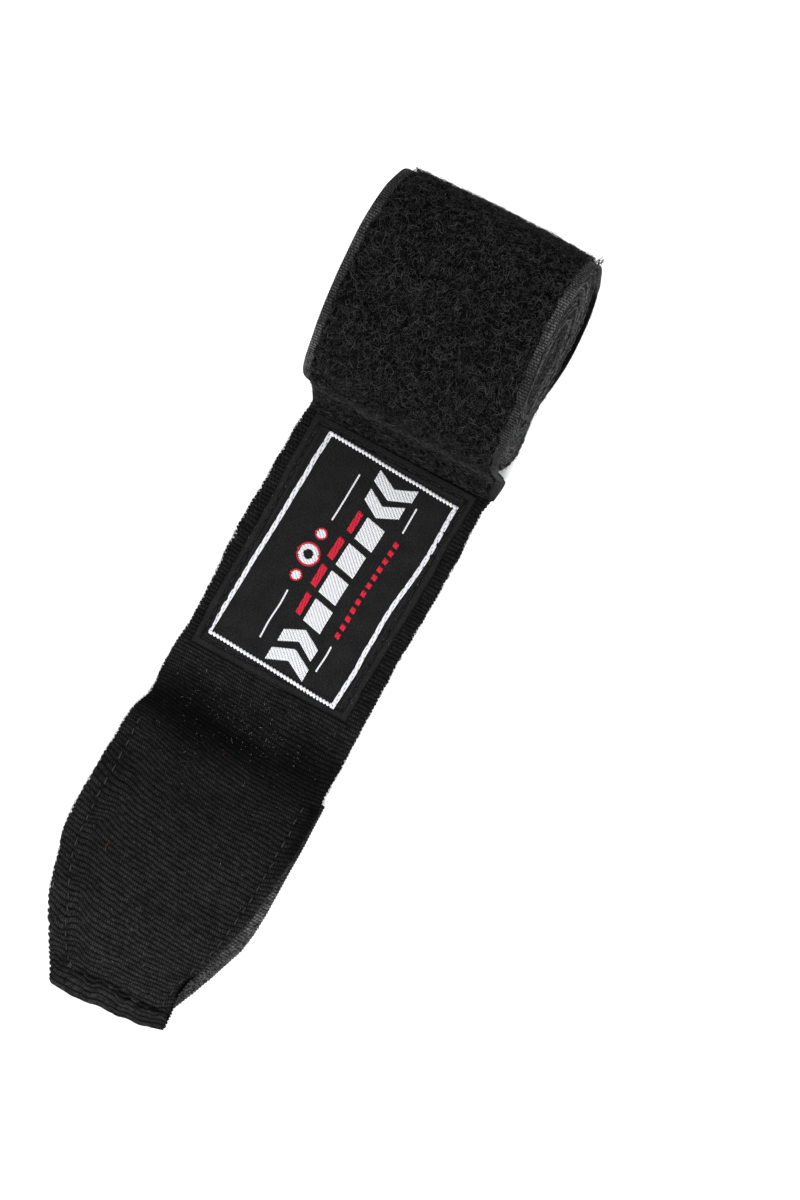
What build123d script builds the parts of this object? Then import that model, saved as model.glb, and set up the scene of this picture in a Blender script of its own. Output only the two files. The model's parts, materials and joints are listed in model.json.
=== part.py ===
from build123d import *
import math
import os

# Hand wrap: one long band of stretch webbing, wound into an oval roll at one end,
# with a free tongue lying flat.  Millimetres, +Z up, strip length along X, roll axis along Y.
# The outer face of the band carries a soft loop panel (on the roll) and a woven label
# (on the tongue).  The last stretch of the tongue is the tail: webbing on a hook tape.

# ---------------------------------------------------------------- driving dimensions
BAND_W = 50.0           # band width across Y
BAND_T = 0.60           # webbing thickness
PITCH = 0.70            # layer to layer spacing inside the roll
CORE_R = 0.95           # centre-line radius of the innermost turn about the core corners
CORE = [(5.9, -1.9), (5.9, 1.9), (-5.9, -1.9)]   # corners (x, z) of the outermost turn, anticlockwise
CORE_SQUEEZE = 0.40     # the corners of the innermost turn, as a share of those
STEPS = 87              # arcs in the spiral, three to a turn
ROLL_X = 27.4           # x of the core centre in the working frame
LEAVE_DEG = 194.0       # normal direction where the strip leaves the roll
FOOT_R = 5.0            # concave radius where the strip turns onto the table
GAP = 0.02              # clearance between sewn layers
HINGE_GAP = 0.30        # clear slot at each fold line

LOOP_BASE_T = 0.50      # ground cloth of the loop panel
LOOP_T = 2.20           # loop panel, ground and pile together
LOOP_SELVEDGE = 2.6     # bare woven margin each side of the pile
LOOP_OVER = 0.9         # how far the panel stands past the band on each side
LOOP_FAR_DEG = -20.0    # the panel ends on the far side of the roll

FOLD_A_X = -2.2         # fold line where the tongue leaves the roll
FOLD_A_Z = 0.65
FOLD_B_X = -83.2        # fold line between label section and tail
FOLD_B_Z = 1.0

LABEL_X0, LABEL_X1 = -66.4, -2.7
LABEL_Y0, LABEL_Y1 = -21.2, 22.4
LABEL_T = 0.70
STITCH_L, STITCH_W, STITCH_H = 2.3, 0.40, 0.30

HOOK_T = 1.70           # hook tape, ground and hooks together
HOOK_X0 = -86.6
TAIL_Z = HOOK_T + GAP   # underside of the tail webbing
HEM_W = 5.5             # folded hem across the end of the tail
HEM_T = 0.55

LOOP_STRIP_T = 0.50     # thumb loop tape
LOOP_STRIP_W = 16.0     # its width along Y
LOOP_LEN = 42.0         # length of the folded loop, wound into the core

os.makedirs("parts", exist_ok=True)


# ---------------------------------------------------------------- strip path
# Convex arcs ("A"), lines ("L") and one concave arc ("C"), from the core outwards.
# Offset d is measured towards the outer face.
def build_path():
    n = len(CORE)
    radii = [CORE_R + k * PITCH / n for k in range(STEPS)]
    share = [CORE_SQUEEZE + (1 - CORE_SQUEEZE) * k / (STEPS - 1) for k in range(STEPS)]
    cz = max(radii[k] + BAND_T / 2 - CORE[k % n][1] * share[k] for k in (STEPS - 3, STEPS - 4))
    pts = [(ROLL_X + CORE[k % n][0] * share[k], cz + CORE[k % n][1] * share[k]) for k in range(STEPS)]
    segs = []
    phi_in = math.radians(-60.0)
    for k in range(STEPS):
        c, r = pts[k], radii[k]
        if k == STEPS - 1:
            turn = math.radians(LEAVE_DEG)
            while turn < phi_in:
                turn += 2 * math.pi
            segs.append(("A", c[0], c[1], r, phi_in, turn))
            phi_in = turn
            break
        d = (pts[k + 1][0] - c[0], pts[k + 1][1] - c[1])
        length = math.hypot(*d)
        delta = math.atan2(d[1], d[0])
        phi = delta - math.acos((r - radii[k + 1]) / length)
        while phi < phi_in:
            phi += 2 * math.pi
        segs.append(("A", c[0], c[1], r, phi_in, phi))
        nx, nz = math.cos(phi), math.sin(phi)
        segs.append(("L", c[0] + r * nx, c[1] + r * nz,
                     pts[k + 1][0] + radii[k + 1] * nx, pts[k + 1][1] + radii[k + 1] * nz, nx, nz))
        phi_in = phi
    # straight run down the near side, then the foot curve onto the table
    c, r = pts[-1], radii[-1]
    nx, nz = math.cos(phi_in), math.sin(phi_in)
    sx, sz = c[0] + r * nx, c[1] + r * nz
    hx, hz = -nz, nx
    fz = BAND_T / 2 + FOOT_R
    pz = fz + FOOT_R * (-nz)
    run = (pz - sz) / hz
    px = sx + hx * run
    segs.append(("L", sx, sz, px, pz, nx, nz))
    fx = px + FOOT_R * nx
    segs.append(("C", fx, fz, FOOT_R, math.atan2(pz - fz, px - fx), -math.pi / 2))
    segs.append(("L", fx, BAND_T / 2, FOLD_A_X + HINGE_GAP / 2, BAND_T / 2, 0.0, 1.0))
    return segs, cz


def seg_len(s):
    if s[0] == "L":
        return math.hypot(s[3] - s[1], s[4] - s[2])
    return s[3] * abs(s[5] - s[4])


def cut(segs, a, b):
    """The part of the path between arc lengths a and b."""
    out, pos = [], 0.0
    for s in segs:
        n = seg_len(s)
        lo, hi = max(a, pos), min(b, pos + n)
        if hi - lo > 1e-6 and n > 1e-9:
            u, v = (lo - pos) / n, (hi - pos) / n
            if s[0] == "L":
                dx, dz = s[3] - s[1], s[4] - s[2]
                out.append(("L", s[1] + u * dx, s[2] + u * dz, s[1] + v * dx, s[2] + v * dz, s[5], s[6]))
            else:
                d = s[5] - s[4]
                out.append((s[0], s[1], s[2], s[3], s[4] + u * d, s[4] + v * d))
        pos += n
    return out


def at(s, u, d):
    """Point of a segment at fraction u, offset d towards the outer face."""
    if s[0] == "L":
        return (s[1] + u * (s[3] - s[1]) + d * s[5], s[2] + u * (s[4] - s[2]) + d * s[6])
    phi = s[4] + u * (s[5] - s[4])
    r = s[3] + (d if s[0] == "A" else -d)
    return (s[1] + r * math.cos(phi), s[2] + r * math.sin(phi))


def normal(s, u):
    if s[0] == "L":
        return (s[5], s[6])
    phi = s[4] + u * (s[5] - s[4])
    k = 1.0 if s[0] == "A" else -1.0
    return (k * math.cos(phi), k * math.sin(phi))


def at_length(segs, a, d):
    pos = 0.0
    for s in segs:
        n = seg_len(s)
        if a <= pos + n + 1e-9:
            u = (a - pos) / n
            return at(s, u, d), normal(s, u)
        pos += n
    return at(segs[-1], 1.0, d), normal(segs[-1], 1.0)


def band_face(segs, d0, d1, y):
    """Cross-section of a strip between offsets d0 and d1, in the plane y."""
    v = lambda p: Vector(p[0], y, p[1])
    edges = []
    for s in segs:
        p, q = at(s, 0, d1), at(s, 1, d1)
        if s[0] == "L":
            edges.append(Edge.make_line(v(p), v(q)))
        else:
            edges.append(Edge.make_three_point_arc(v(p), v(at(s, 0.5, d1)), v(q)))
    edges.append(Edge.make_line(v(at(segs[-1], 1, d1)), v(at(segs[-1], 1, d0))))
    for s in reversed(segs):
        p, q = at(s, 1, d0), at(s, 0, d0)
        if s[0] == "L":
            edges.append(Edge.make_line(v(p), v(q)))
        else:
            edges.append(Edge.make_three_point_arc(v(p), v(at(s, 0.5, d0)), v(q)))
    edges.append(Edge.make_line(v(at(segs[0], 0, d0)), v(at(segs[0], 0, d1))))
    return Face(Wire(edges))


def strip(segs, d0, d1, y0, y1):
    return Solid.extrude(band_face(segs, d0, d1, y0), Vector(0, y1 - y0, 0))


def plate(points, z0, z1):
    """Flat piece from a closed outline of (x, y) points."""
    ring = [Vector(x, y, z0) for x, y in points]
    edges = [Edge.make_line(ring[i], ring[(i + 1) % len(ring)]) for i in range(len(ring))]
    return Solid.extrude(Face(Wire(edges)), Vector(0, 0, z1 - z0))


def stitch_row(points, length, gap, z, width=STITCH_W, height=STITCH_H):
    """Separate stitches laid along a polyline of (x, y) points at height z."""
    out, carry = [], 0.0
    legs = list(zip(points[:-1], points[1:]))
    total = sum(math.dist(p, q) for p, q in legs)
    count = max(1, round((total + gap) / (length + gap)))
    step = (total + gap) / count
    size = step - gap
    for i in range(count):
        mid, pos = i * step + size / 2, 0.0
        for p, q in legs:
            n = math.dist(p, q)
            if mid <= pos + n:
                u = (mid - pos) / n
                x, y = p[0] + u * (q[0] - p[0]), p[1] + u * (q[1] - p[1])
                turn = math.degrees(math.atan2(q[1] - p[1], q[0] - p[0]))
                body = Box(size, width, height, align=(Align.CENTER, Align.CENTER, Align.MIN))
                body = fillet(body.edges().filter_by(Axis.X).sort_by(Axis.Z)[-2:], 0.12)
                out.append(Location((x, y, z), (0, 0, turn)) * body)
                break
            pos += n
    return out


def group(solids):
    flat = []
    for s in solids:
        flat += s.solids() if hasattr(s, "solids") else [s]
    return Compound(children=[Solid(x.wrapped) for x in flat]) if len(flat) > 1 else flat[0]


path, core_z = build_path()
total = sum(seg_len(s) for s in path)
half = BAND_W / 2
parts = {}

# ---------------------------------------------------------------- roll
# Thumb loop: a narrow tape folded in two, wound as the innermost turn, its two layers
# closed by a fold at the inner end.
loop_in = 2.0
loop_out = loop_in + LOOP_LEN
tack = 1.2
tape = strip(cut(path, loop_in, loop_out), -0.30 - LOOP_STRIP_T / 2 + 0.22, 0.30 + LOOP_STRIP_T / 2 - 0.22,
             -LOOP_STRIP_W / 2, LOOP_STRIP_W / 2)
slit = strip(cut(path, loop_in + 0.8, loop_out + 0.1), -0.05, 0.05,
             -LOOP_STRIP_W / 2 - 1, LOOP_STRIP_W / 2 + 1)
parts["thumb_loop"] = tape - slit

# Bar tack: four short stitches that join the two ends of the loop to the band.
tacks = []
for y in (-6.0, -2.0, 2.0, 6.0):
    tacks.append(strip(cut(path, loop_out + 0.03, loop_out + tack - 0.03), -0.22, 0.22, y - 0.6, y + 0.6))
parts["thumb_loop_bar_tack"] = group(tacks)

# Webbing wound into the roll, with the run down the near side and the foot.
parts["wound_webbing"] = strip(cut(path, loop_out + tack, total), -BAND_T / 2, BAND_T / 2, -half, half)

# Loop panel on the outer face: thin woven ground, raised pile between two bare margins.
# It starts on the far side and ends in the foot.
pos, far = 0.0, None
for s in path:
    n = seg_len(s)
    if s[0] == "A" and pos > total - 260:
        lo, hi = s[4], s[5]
        t = math.radians(LOOP_FAR_DEG)
        while t < lo:
            t += 2 * math.pi
        if t <= hi:
            far = pos + s[3] * (t - lo)
    pos += n
panel = cut(path, far, total - 1.15)
base = BAND_T / 2 + GAP
parts["loop_panel"] = (strip(panel, base, base + LOOP_BASE_T, -half - LOOP_OVER, half + LOOP_OVER)
                       + strip(cut(path, far + 1.0, total - 1.45), base + LOOP_BASE_T / 2, base + LOOP_T,
                               -half - LOOP_OVER + LOOP_SELVEDGE, half + LOOP_OVER - LOOP_SELVEDGE)).solids()[0]
panel_len = total - 1.15 - far

# Loop panel seams: one row of stitches along each bare margin.
rows = []
step = 3.6
count = int((panel_len - 14.0) / step)
for side in (-1, 1):
    for i in range(count):
        a = far + 4.0 + i * step
        y = side * (half + LOOP_OVER - 0.8)
        b = min(a + 2.5, total)
        rows.append(strip(cut(path, a, b), base + LOOP_BASE_T + GAP, base + LOOP_BASE_T + GAP + 0.25,
                          y - 0.18, y + 0.18))
parts["loop_panel_stitching"] = group(rows)

# ---------------------------------------------------------------- label section
ax1 = FOLD_A_X - HINGE_GAP / 2
bx0 = FOLD_B_X + HINGE_GAP / 2
parts["label_webbing"] = plate([(ax1, -half + 0.4), (ax1, half - 0.4), (-60.0, half - 0.7), (-78.0, half - 0.9),
                                (bx0, half - 1.8), (bx0, -half + 1.2), (-78.0, -half + 0.4), (-60.0, -half)],
                               0.0, BAND_T)
lab = Box(LABEL_X1 - LABEL_X0, LABEL_Y1 - LABEL_Y0, LABEL_T, align=(Align.CENTER, Align.CENTER, Align.MIN))
lab = fillet(lab.edges().filter_by(Axis.Z), 0.8)
lx, ly = (LABEL_X0 + LABEL_X1) / 2, (LABEL_Y0 + LABEL_Y1) / 2
parts["woven_label"] = (Location((lx, ly, BAND_T + GAP)) * lab).solids()[0]
inset = 1.9
zs = BAND_T + GAP + LABEL_T + GAP
x0, x1, y0, y1 = LABEL_X0 + inset, LABEL_X1 - inset, LABEL_Y0 + inset, LABEL_Y1 - inset
g = 0.9
parts["label_stitching"] = group(
    stitch_row([(x0 + g, y0), (x1 - g, y0)], STITCH_L, g, zs)
    + stitch_row([(x1, y0 + g), (x1, y1 - g)], STITCH_L, g, zs)
    + stitch_row([(x1 - g, y1), (x0 + g, y1)], STITCH_L, g, zs)
    + stitch_row([(x0, y1 - g), (x0, y0 + g)], STITCH_L, g, zs))

# ---------------------------------------------------------------- tail
# Webbing outline in plan; it climbs from the fold line onto the hook tape.
LEFT = [(-86.5, 24.3), (-100.0, 24.6), (-113.0, 24.6), (-117.0, 24.4), (-121.0, 23.8), (-124.5, 22.7),
        (-128.0, 21.5), (-131.5, 20.5), (-135.0, 19.3), (-138.0, 17.7), (-141.0, 16.1), (-144.0, 14.1),
        (-147.0, 12.1), (-150.0, 10.3), (-153.0, 8.7)]
END = [(-153.8, 8.0), (-153.8, 2.3), (-152.9, -6.5), (-152.4, -14.6), (-150.6, -20.4)]
RIGHT = [(-145.7, -19.8), (-138.0, -20.6), (-131.0, -22.6), (-126.0, -23.6), (-121.0, -24.4), (-117.0, -25.0),
         (-100.0, -25.0), (-86.5, -25.0)]
bx1 = FOLD_B_X - HINGE_GAP / 2
flat_tail = plate(LEFT + END + RIGHT, TAIL_Z, TAIL_Z + BAND_T)
ramp_pts = [(bx1, 0.0), (bx1, BAND_T), (-86.2, TAIL_Z + BAND_T), (-86.9, TAIL_Z + BAND_T), (-86.9, TAIL_Z),
            (-86.3, TAIL_Z), (bx1 - 0.25, 0.0)]
ring = [Vector(x, -half + 0.9, z) for x, z in ramp_pts]
ramp = Solid.extrude(Face(Wire([Edge.make_line(ring[i], ring[(i + 1) % len(ring)]) for i in range(len(ring))])),
                     Vector(0, BAND_W - 2.4, 0))
parts["tail_webbing"] = (flat_tail + ramp).solids()[0]

# Hem: the end of the band turned back on itself over the last few millimetres.
hem_in = [(-148.6, 10.6), (-148.2, 2.0), (-147.6, -6.5), (-147.3, -14.0), (-146.3, -19.4)]
hem_out = [(-150.3, -19.9), (-151.9, -14.4), (-152.4, -6.4), (-153.3, 2.2), (-153.3, 7.8), (-152.6, 8.4)]
parts["end_hem_fold"] = plate(hem_in + hem_out, TAIL_Z + BAND_T + GAP, TAIL_Z + BAND_T + GAP + HEM_T)

# Hook tape under the tail; it stands a little proud of the webbing along one edge.
HOOK = [(HOOK_X0, 22.6), (-113.0, 22.8), (-121.0, 21.9), (-128.0, 19.7), (-135.0, 17.4), (-141.0, 14.2),
        (-147.0, 10.2), (-149.6, 8.2), (-149.4, -6.5), (-148.6, -15.0), (-147.0, -18.6), (-144.8, -19.7),
        (-138.8, -21.5), (-131.8, -24.4), (-124.6, -26.2), (-119.7, -27.2), (-113.0, -26.9), (HOOK_X0, -26.8)]
hook_webbing = plate(HOOK, HOOK_T - 0.55, HOOK_T)
hook_field = plate([(x * 0.985 - 1.7, y * 0.94 + 0.0) for x, y in HOOK], 0.0, HOOK_T - 0.45)
parts["hook_tape"] = (hook_webbing + hook_field).solids()[0]

# Seams that hold the hook tape, one along each side, and the seam across the hem.
zt = TAIL_Z + BAND_T + GAP
left_seam = [(-89.0, 21.6), (-107.5, 21.0), (-119.7, 20.2), (-125.1, 19.1), (-129.9, 16.9), (-135.0, 14.4),
             (-140.1, 11.9), (-146.0, 8.0)]
right_seam = [(-89.0, -22.6), (-99.5, -22.9), (-106.7, -22.7), (-113.1, -22.9), (-121.4, -22.1),
              (-126.1, -21.8), (-131.0, -20.8), (-138.0, -18.6), (-144.5, -17.6)]
parts["hook_tape_stitching"] = group(stitch_row(left_seam, 3.0, 1.0, zt) + stitch_row(right_seam, 3.0, 1.0, zt))
hem_seam = [(-149.6, 8.2), (-149.3, 2.2), (-148.6, -6.5), (-148.4, -14.2), (-147.7, -18.2)]
parts["hem_stitching"] = group(stitch_row(hem_seam, 2.6, 0.9, zt + HEM_T + GAP))

# ---------------------------------------------------------------- origin: centre of the footprint, on the table
boxes = [p.bounding_box() for p in parts.values()]
cx = (min(b.min.X for b in boxes) + max(b.max.X for b in boxes)) / 2
cy = (min(b.min.Y for b in boxes) + max(b.max.Y for b in boxes)) / 2
bz = min(b.min.Z for b in boxes)
print("shift", round(cx, 4), round(cy, 4), round(bz, 5))
print("size", round(max(b.max.X for b in boxes) - min(b.min.X for b in boxes), 2),
      round(max(b.max.Y for b in boxes) - min(b.min.Y for b in boxes), 2),
      round(max(b.max.Z for b in boxes) - bz, 2))
print("strip in roll", round(total, 1), "with tongue", round(total + 153.8 + FOLD_A_X, 1), "turns", STEPS / 3)
print("loop panel length", round(panel_len, 1), "core z", round(core_z, 3))
print("fold A", round(FOLD_A_X - cx, 3), FOLD_A_Z - bz, "fold B", round(FOLD_B_X - cx, 3), FOLD_B_Z - bz)

for name, shape in parts.items():
    export_step(shape.moved(Location((-cx, -cy, -bz))), f"parts/{name}.step")
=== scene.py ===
import bpy
import json
import math
import numpy as np
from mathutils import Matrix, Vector


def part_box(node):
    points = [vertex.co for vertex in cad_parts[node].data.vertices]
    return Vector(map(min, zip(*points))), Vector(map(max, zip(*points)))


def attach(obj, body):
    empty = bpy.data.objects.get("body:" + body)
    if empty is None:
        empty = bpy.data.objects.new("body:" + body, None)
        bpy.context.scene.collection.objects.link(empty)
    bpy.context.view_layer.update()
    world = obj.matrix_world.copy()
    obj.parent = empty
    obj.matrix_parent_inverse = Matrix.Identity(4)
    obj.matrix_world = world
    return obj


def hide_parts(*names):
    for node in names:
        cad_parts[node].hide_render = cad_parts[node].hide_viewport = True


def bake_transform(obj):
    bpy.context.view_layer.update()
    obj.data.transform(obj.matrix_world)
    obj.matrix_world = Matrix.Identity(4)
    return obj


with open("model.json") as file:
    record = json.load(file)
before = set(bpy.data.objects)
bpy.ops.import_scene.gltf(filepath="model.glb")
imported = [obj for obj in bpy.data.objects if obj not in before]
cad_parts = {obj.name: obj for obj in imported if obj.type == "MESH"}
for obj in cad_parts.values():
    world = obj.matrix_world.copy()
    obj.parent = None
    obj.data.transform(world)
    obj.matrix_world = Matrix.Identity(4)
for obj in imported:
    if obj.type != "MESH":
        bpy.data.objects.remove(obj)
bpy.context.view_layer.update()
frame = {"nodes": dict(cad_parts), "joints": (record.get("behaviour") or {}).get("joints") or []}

# ------------------------------------------------------------------ working frame
# All lengths below are millimetres in the working frame of the CAD source:
# x along the band (tail negative), y across it (band centred on 0), z up from the table.
JOINT = {j["name"]: j for j in frame["joints"]}
DX = JOINT["tongue_fold"]["pos_m"][0] * 1000 + 2.2
_lo, _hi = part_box("wound_webbing")
DY = (_lo[1] + _hi[1]) * 500
SHIFT = np.array([DX, DY, 0.0])

HALF = 25.0
BAND_T = 0.60
PITCH = 0.70
CORE_R = 0.95
CORE = [(5.9, -1.9), (5.9, 1.9), (-5.9, -1.9)]
SQUEEZE = 0.40
STEPS = 87
ROLL_X = 27.4
FOOT_R = 5.0
LOOP_LEN = 42.0
PANEL_HALF = 25.9
SELVEDGE = 2.6
TAIL_Z = 1.72


# ------------------------------------------------------------------ smooth noise
_tables = {}


def vnoise(x, y, seed):
    """Smooth value noise in -1..1 with unit cells."""
    if seed not in _tables:
        _tables[seed] = np.random.default_rng(1000 + seed).uniform(-1, 1, (256, 256))
    t = _tables[seed]
    x, y = np.broadcast_arrays(np.asarray(x, float), np.asarray(y, float))
    xi, yi = np.floor(x).astype(int), np.floor(y).astype(int)
    fx, fy = x - xi, y - yi
    fx, fy = fx * fx * (3 - 2 * fx), fy * fy * (3 - 2 * fy)
    a, b = t[xi % 256, yi % 256], t[(xi + 1) % 256, yi % 256]
    c, d = t[xi % 256, (yi + 1) % 256], t[(xi + 1) % 256, (yi + 1) % 256]
    return (a * (1 - fx) + b * fx) * (1 - fy) + (c * (1 - fx) + d * fx) * fy


def smooth(e0, e1, x):
    t = np.clip((np.asarray(x, float) - e0) / (e1 - e0), 0, 1)
    return t * t * (3 - 2 * t)


# ------------------------------------------------------------------ mesh helpers
def settle(v):
    """The roll sits a little off the line of the tongue: it slides to the left as it rises from the foot, and the
    band's rims follow it at the label."""
    v = np.array(v, float)
    x, y, z = v[:, 0].copy(), v[:, 1].copy(), v[:, 2].copy()
    w = np.maximum(smooth(2, 22, x), smooth(0.8, 24, z) * smooth(-8, -2, x))
    right = smooth(-5, 25, -y)
    v[:, 1] += w * (1.0 - 0.85 * right * (1 - smooth(4, 26, x)) + 1.15 * smooth(4 * right, 30, x))
    v[:, 0] -= w * 0.9 * smooth(35, 60, x)
    v[:, 1] += 1.1 * smooth(-56, -34, x) * (1 - smooth(-6, 4, x)) * smooth(23.2, 25.0, y)
    v[:, 1] += 1.1 * smooth(-22, -5, x) * (1 - smooth(-4, 4, x)) * smooth(21.8, 25.0, -y)
    return v


def make(name, verts, faces, mat, uv=None, tone=None, smooth_shade=True):
    """Mesh object from working-frame vertices (mm) and a list of face arrays. uv and tone are per vertex."""
    verts = (settle(verts) + SHIFT) * 0.001
    faces = [np.asarray(f, np.int32) for f in faces if len(f)]
    vol = 0.0
    for f in faces:
        a = verts[f[:, 0]]
        for k in range(1, f.shape[1] - 1):
            vol += np.einsum("ij,ij->i", a, np.cross(verts[f[:, k]], verts[f[:, k + 1]])).sum()
    if vol < 0:
        faces = [f[:, ::-1] for f in faces]
    counts = np.concatenate([np.full(len(f), f.shape[1], np.int32) for f in faces])
    loops = np.concatenate([f.ravel() for f in faces])
    me = bpy.data.meshes.new(name)
    me.vertices.add(len(verts))
    me.vertices.foreach_set("co", verts.astype(np.float32).ravel())
    me.loops.add(len(loops))
    me.loops.foreach_set("vertex_index", loops)
    me.polygons.add(len(counts))
    starts = np.concatenate([[0], np.cumsum(counts)[:-1]]).astype(np.int32)
    me.polygons.foreach_set("loop_start", starts)
    me.polygons.foreach_set("loop_total", counts)
    me.polygons.foreach_set("use_smooth", np.full(len(counts), smooth_shade))
    me.update(calc_edges=True)
    if uv is not None:
        layer = me.uv_layers.new(name="cloth")
        layer.data.foreach_set("uv", np.asarray(uv, np.float32)[loops].ravel())
    if tone is not None:
        me.attributes.new("tone", "FLOAT", "POINT").data.foreach_set("value", np.asarray(tone, np.float32).ravel())
    me.validate()
    ob = bpy.data.objects.new(name, me)
    bpy.context.scene.collection.objects.link(ob)
    me.materials.append(mat)
    return ob


def grid_faces(m, n, base=0, flip=False):
    i, j = np.meshgrid(np.arange(m - 1), np.arange(n - 1), indexing="ij")
    a = base + i * n + j
    f = np.stack([a, a + 1, a + n + 1, a + n], -1).reshape(-1, 4)
    return f[:, ::-1] if flip else f


def slab(name, top, bot, mat, uv_top=None, tone=None, tone_bot=None, skip=1):
    """Closed slab from two m x n grids of points. Rows run along the cloth, columns across it from -y to +y.
    skip > 1 thins out the underside's rows and columns."""
    m, n = top.shape[:2]
    keep_r = np.unique(np.concatenate([np.arange(0, m, skip), [m - 1]]))
    keep_c = np.unique(np.concatenate([np.arange(0, n, skip), [n - 1]]))
    sub = bot[np.ix_(keep_r, keep_c)]
    mb, nb = sub.shape[:2]
    verts = np.concatenate([top.reshape(-1, 3), sub.reshape(-1, 3)])
    o = m * n
    faces = [grid_faces(m, n), grid_faces(mb, nb, o, flip=True)]
    # sides: each coarse step below meets the fine ones above in one polygon, grouped by their corner count
    for top_line, low_line, keep, fl in (
            (np.arange(m) * n, o + np.arange(mb) * nb, keep_r, False),
            (np.arange(m) * n + n - 1, o + np.arange(mb) * nb + nb - 1, keep_r, True),
            (np.arange(n), o + np.arange(nb), keep_c, True),
            ((m - 1) * n + np.arange(n), o + (mb - 1) * nb + np.arange(nb), keep_c, False)):
        by = {}
        for i in range(len(keep) - 1):
            f = list(top_line[keep[i]:keep[i + 1] + 1]) + [low_line[i + 1], low_line[i]]
            by.setdefault(len(f), []).append(f[::-1] if fl else f)
        faces += [np.array(v) for v in by.values()]
    uv = None if uv_top is None else np.concatenate([uv_top.reshape(-1, 2), uv_top[np.ix_(keep_r, keep_c)].reshape(-1, 2)])
    if tone is not None:
        tb = tone if tone_bot is None else tone_bot
        tone = np.concatenate([tone.reshape(-1), tb[np.ix_(keep_r, keep_c)].reshape(-1)])
    return make(name, verts, faces, mat, uv, tone)


def tubes(points, radius, sides=3, flat=1.0, caps=True):
    """Tube meshes along many polylines at once: points is N x K x 3, radius N or N x K."""
    p = np.asarray(points, float)
    n, k = p.shape[:2]
    d = np.gradient(p, axis=1)
    d /= np.maximum(np.linalg.norm(d, axis=2, keepdims=True), 1e-9)
    ref = np.array([0.31, 0.17, 0.935])
    u = np.cross(d, ref)
    bad = np.linalg.norm(u, axis=2) < 0.15
    u[bad] = np.cross(d[bad], [1.0, 0.0, 0.0])
    u /= np.maximum(np.linalg.norm(u, axis=2, keepdims=True), 1e-9)
    v = np.cross(d, u)
    r = np.asarray(radius, float)
    r = np.broadcast_to(r[:, None] if r.ndim == 1 else r, (n, k))[..., None]
    ang = np.arange(sides) * 2 * math.pi / sides
    ring = p[:, :, None] + r[:, :, None] * (u[:, :, None] * np.cos(ang)[:, None] + flat * v[:, :, None] * np.sin(ang)[:, None])
    verts = ring.reshape(-1, 3)
    base = (np.arange(n) * k * sides)[:, None, None]
    i, s = np.meshgrid(np.arange(k - 1), np.arange(sides), indexing="ij")
    a = i * sides + s
    b = i * sides + (s + 1) % sides
    q = np.stack([a, b, b + sides, a + sides], -1)[None] + base[..., None]
    quads = q.reshape(-1, 4)
    faces = [quads]
    if caps:
        first = np.arange(sides)[::-1][None] + base[:, 0]
        last = ((k - 1) * sides + np.arange(sides))[None] + base[:, 0]
        faces += [first, last]
    return verts, faces


def merge(parts):
    """Joins (verts, faces) pairs."""
    vs, fs, o = [], [], 0
    for v, f in parts:
        vs.append(v)
        fs += [x + o for x in f]
        o += len(v)
    return np.concatenate(vs), fs


# ------------------------------------------------------------------ the strip's path
def build_path():
    n = len(CORE)
    radii = [CORE_R + k * PITCH / n for k in range(STEPS)]
    share = [SQUEEZE + (1 - SQUEEZE) * k / (STEPS - 1) for k in range(STEPS)]
    cz = max(radii[k] + BAND_T / 2 - CORE[k % n][1] * share[k] for k in (STEPS - 3, STEPS - 4))
    pts = [(ROLL_X + CORE[k % n][0] * share[k], cz + CORE[k % n][1] * share[k]) for k in range(STEPS)]
    segs, phi_in = [], math.radians(-60.0)
    for k in range(STEPS):
        c, r = pts[k], radii[k]
        if k == STEPS - 1:
            turn = math.radians(194.0)
            while turn < phi_in:
                turn += 2 * math.pi
            segs.append(("A", c[0], c[1], r, phi_in, turn))
            phi_in = turn
            break
        d = (pts[k + 1][0] - c[0], pts[k + 1][1] - c[1])
        length = math.hypot(*d)
        phi = math.atan2(d[1], d[0]) - math.acos((r - radii[k + 1]) / length)
        while phi < phi_in:
            phi += 2 * math.pi
        segs.append(("A", c[0], c[1], r, phi_in, phi))
        nx, nz = math.cos(phi), math.sin(phi)
        segs.append(("L", c[0] + r * nx, c[1] + r * nz,
                     pts[k + 1][0] + radii[k + 1] * nx, pts[k + 1][1] + radii[k + 1] * nz, nx, nz))
        phi_in = phi
    c, r = pts[-1], radii[-1]
    nx, nz = math.cos(phi_in), math.sin(phi_in)
    sx, sz = c[0] + r * nx, c[1] + r * nz
    fz = BAND_T / 2 + FOOT_R
    pz = fz + FOOT_R * (-nz)
    px = sx - nz * (pz - sz) / nx
    segs.append(("L", sx, sz, px, pz, nx, nz))
    fx = px + FOOT_R * nx
    segs.append(("C", fx, fz, FOOT_R, math.atan2(pz - fz, px - fx), -math.pi / 2))
    segs.append(("L", fx, BAND_T / 2, -2.05, BAND_T / 2, 0.0, 1.0))
    return segs, cz


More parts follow.
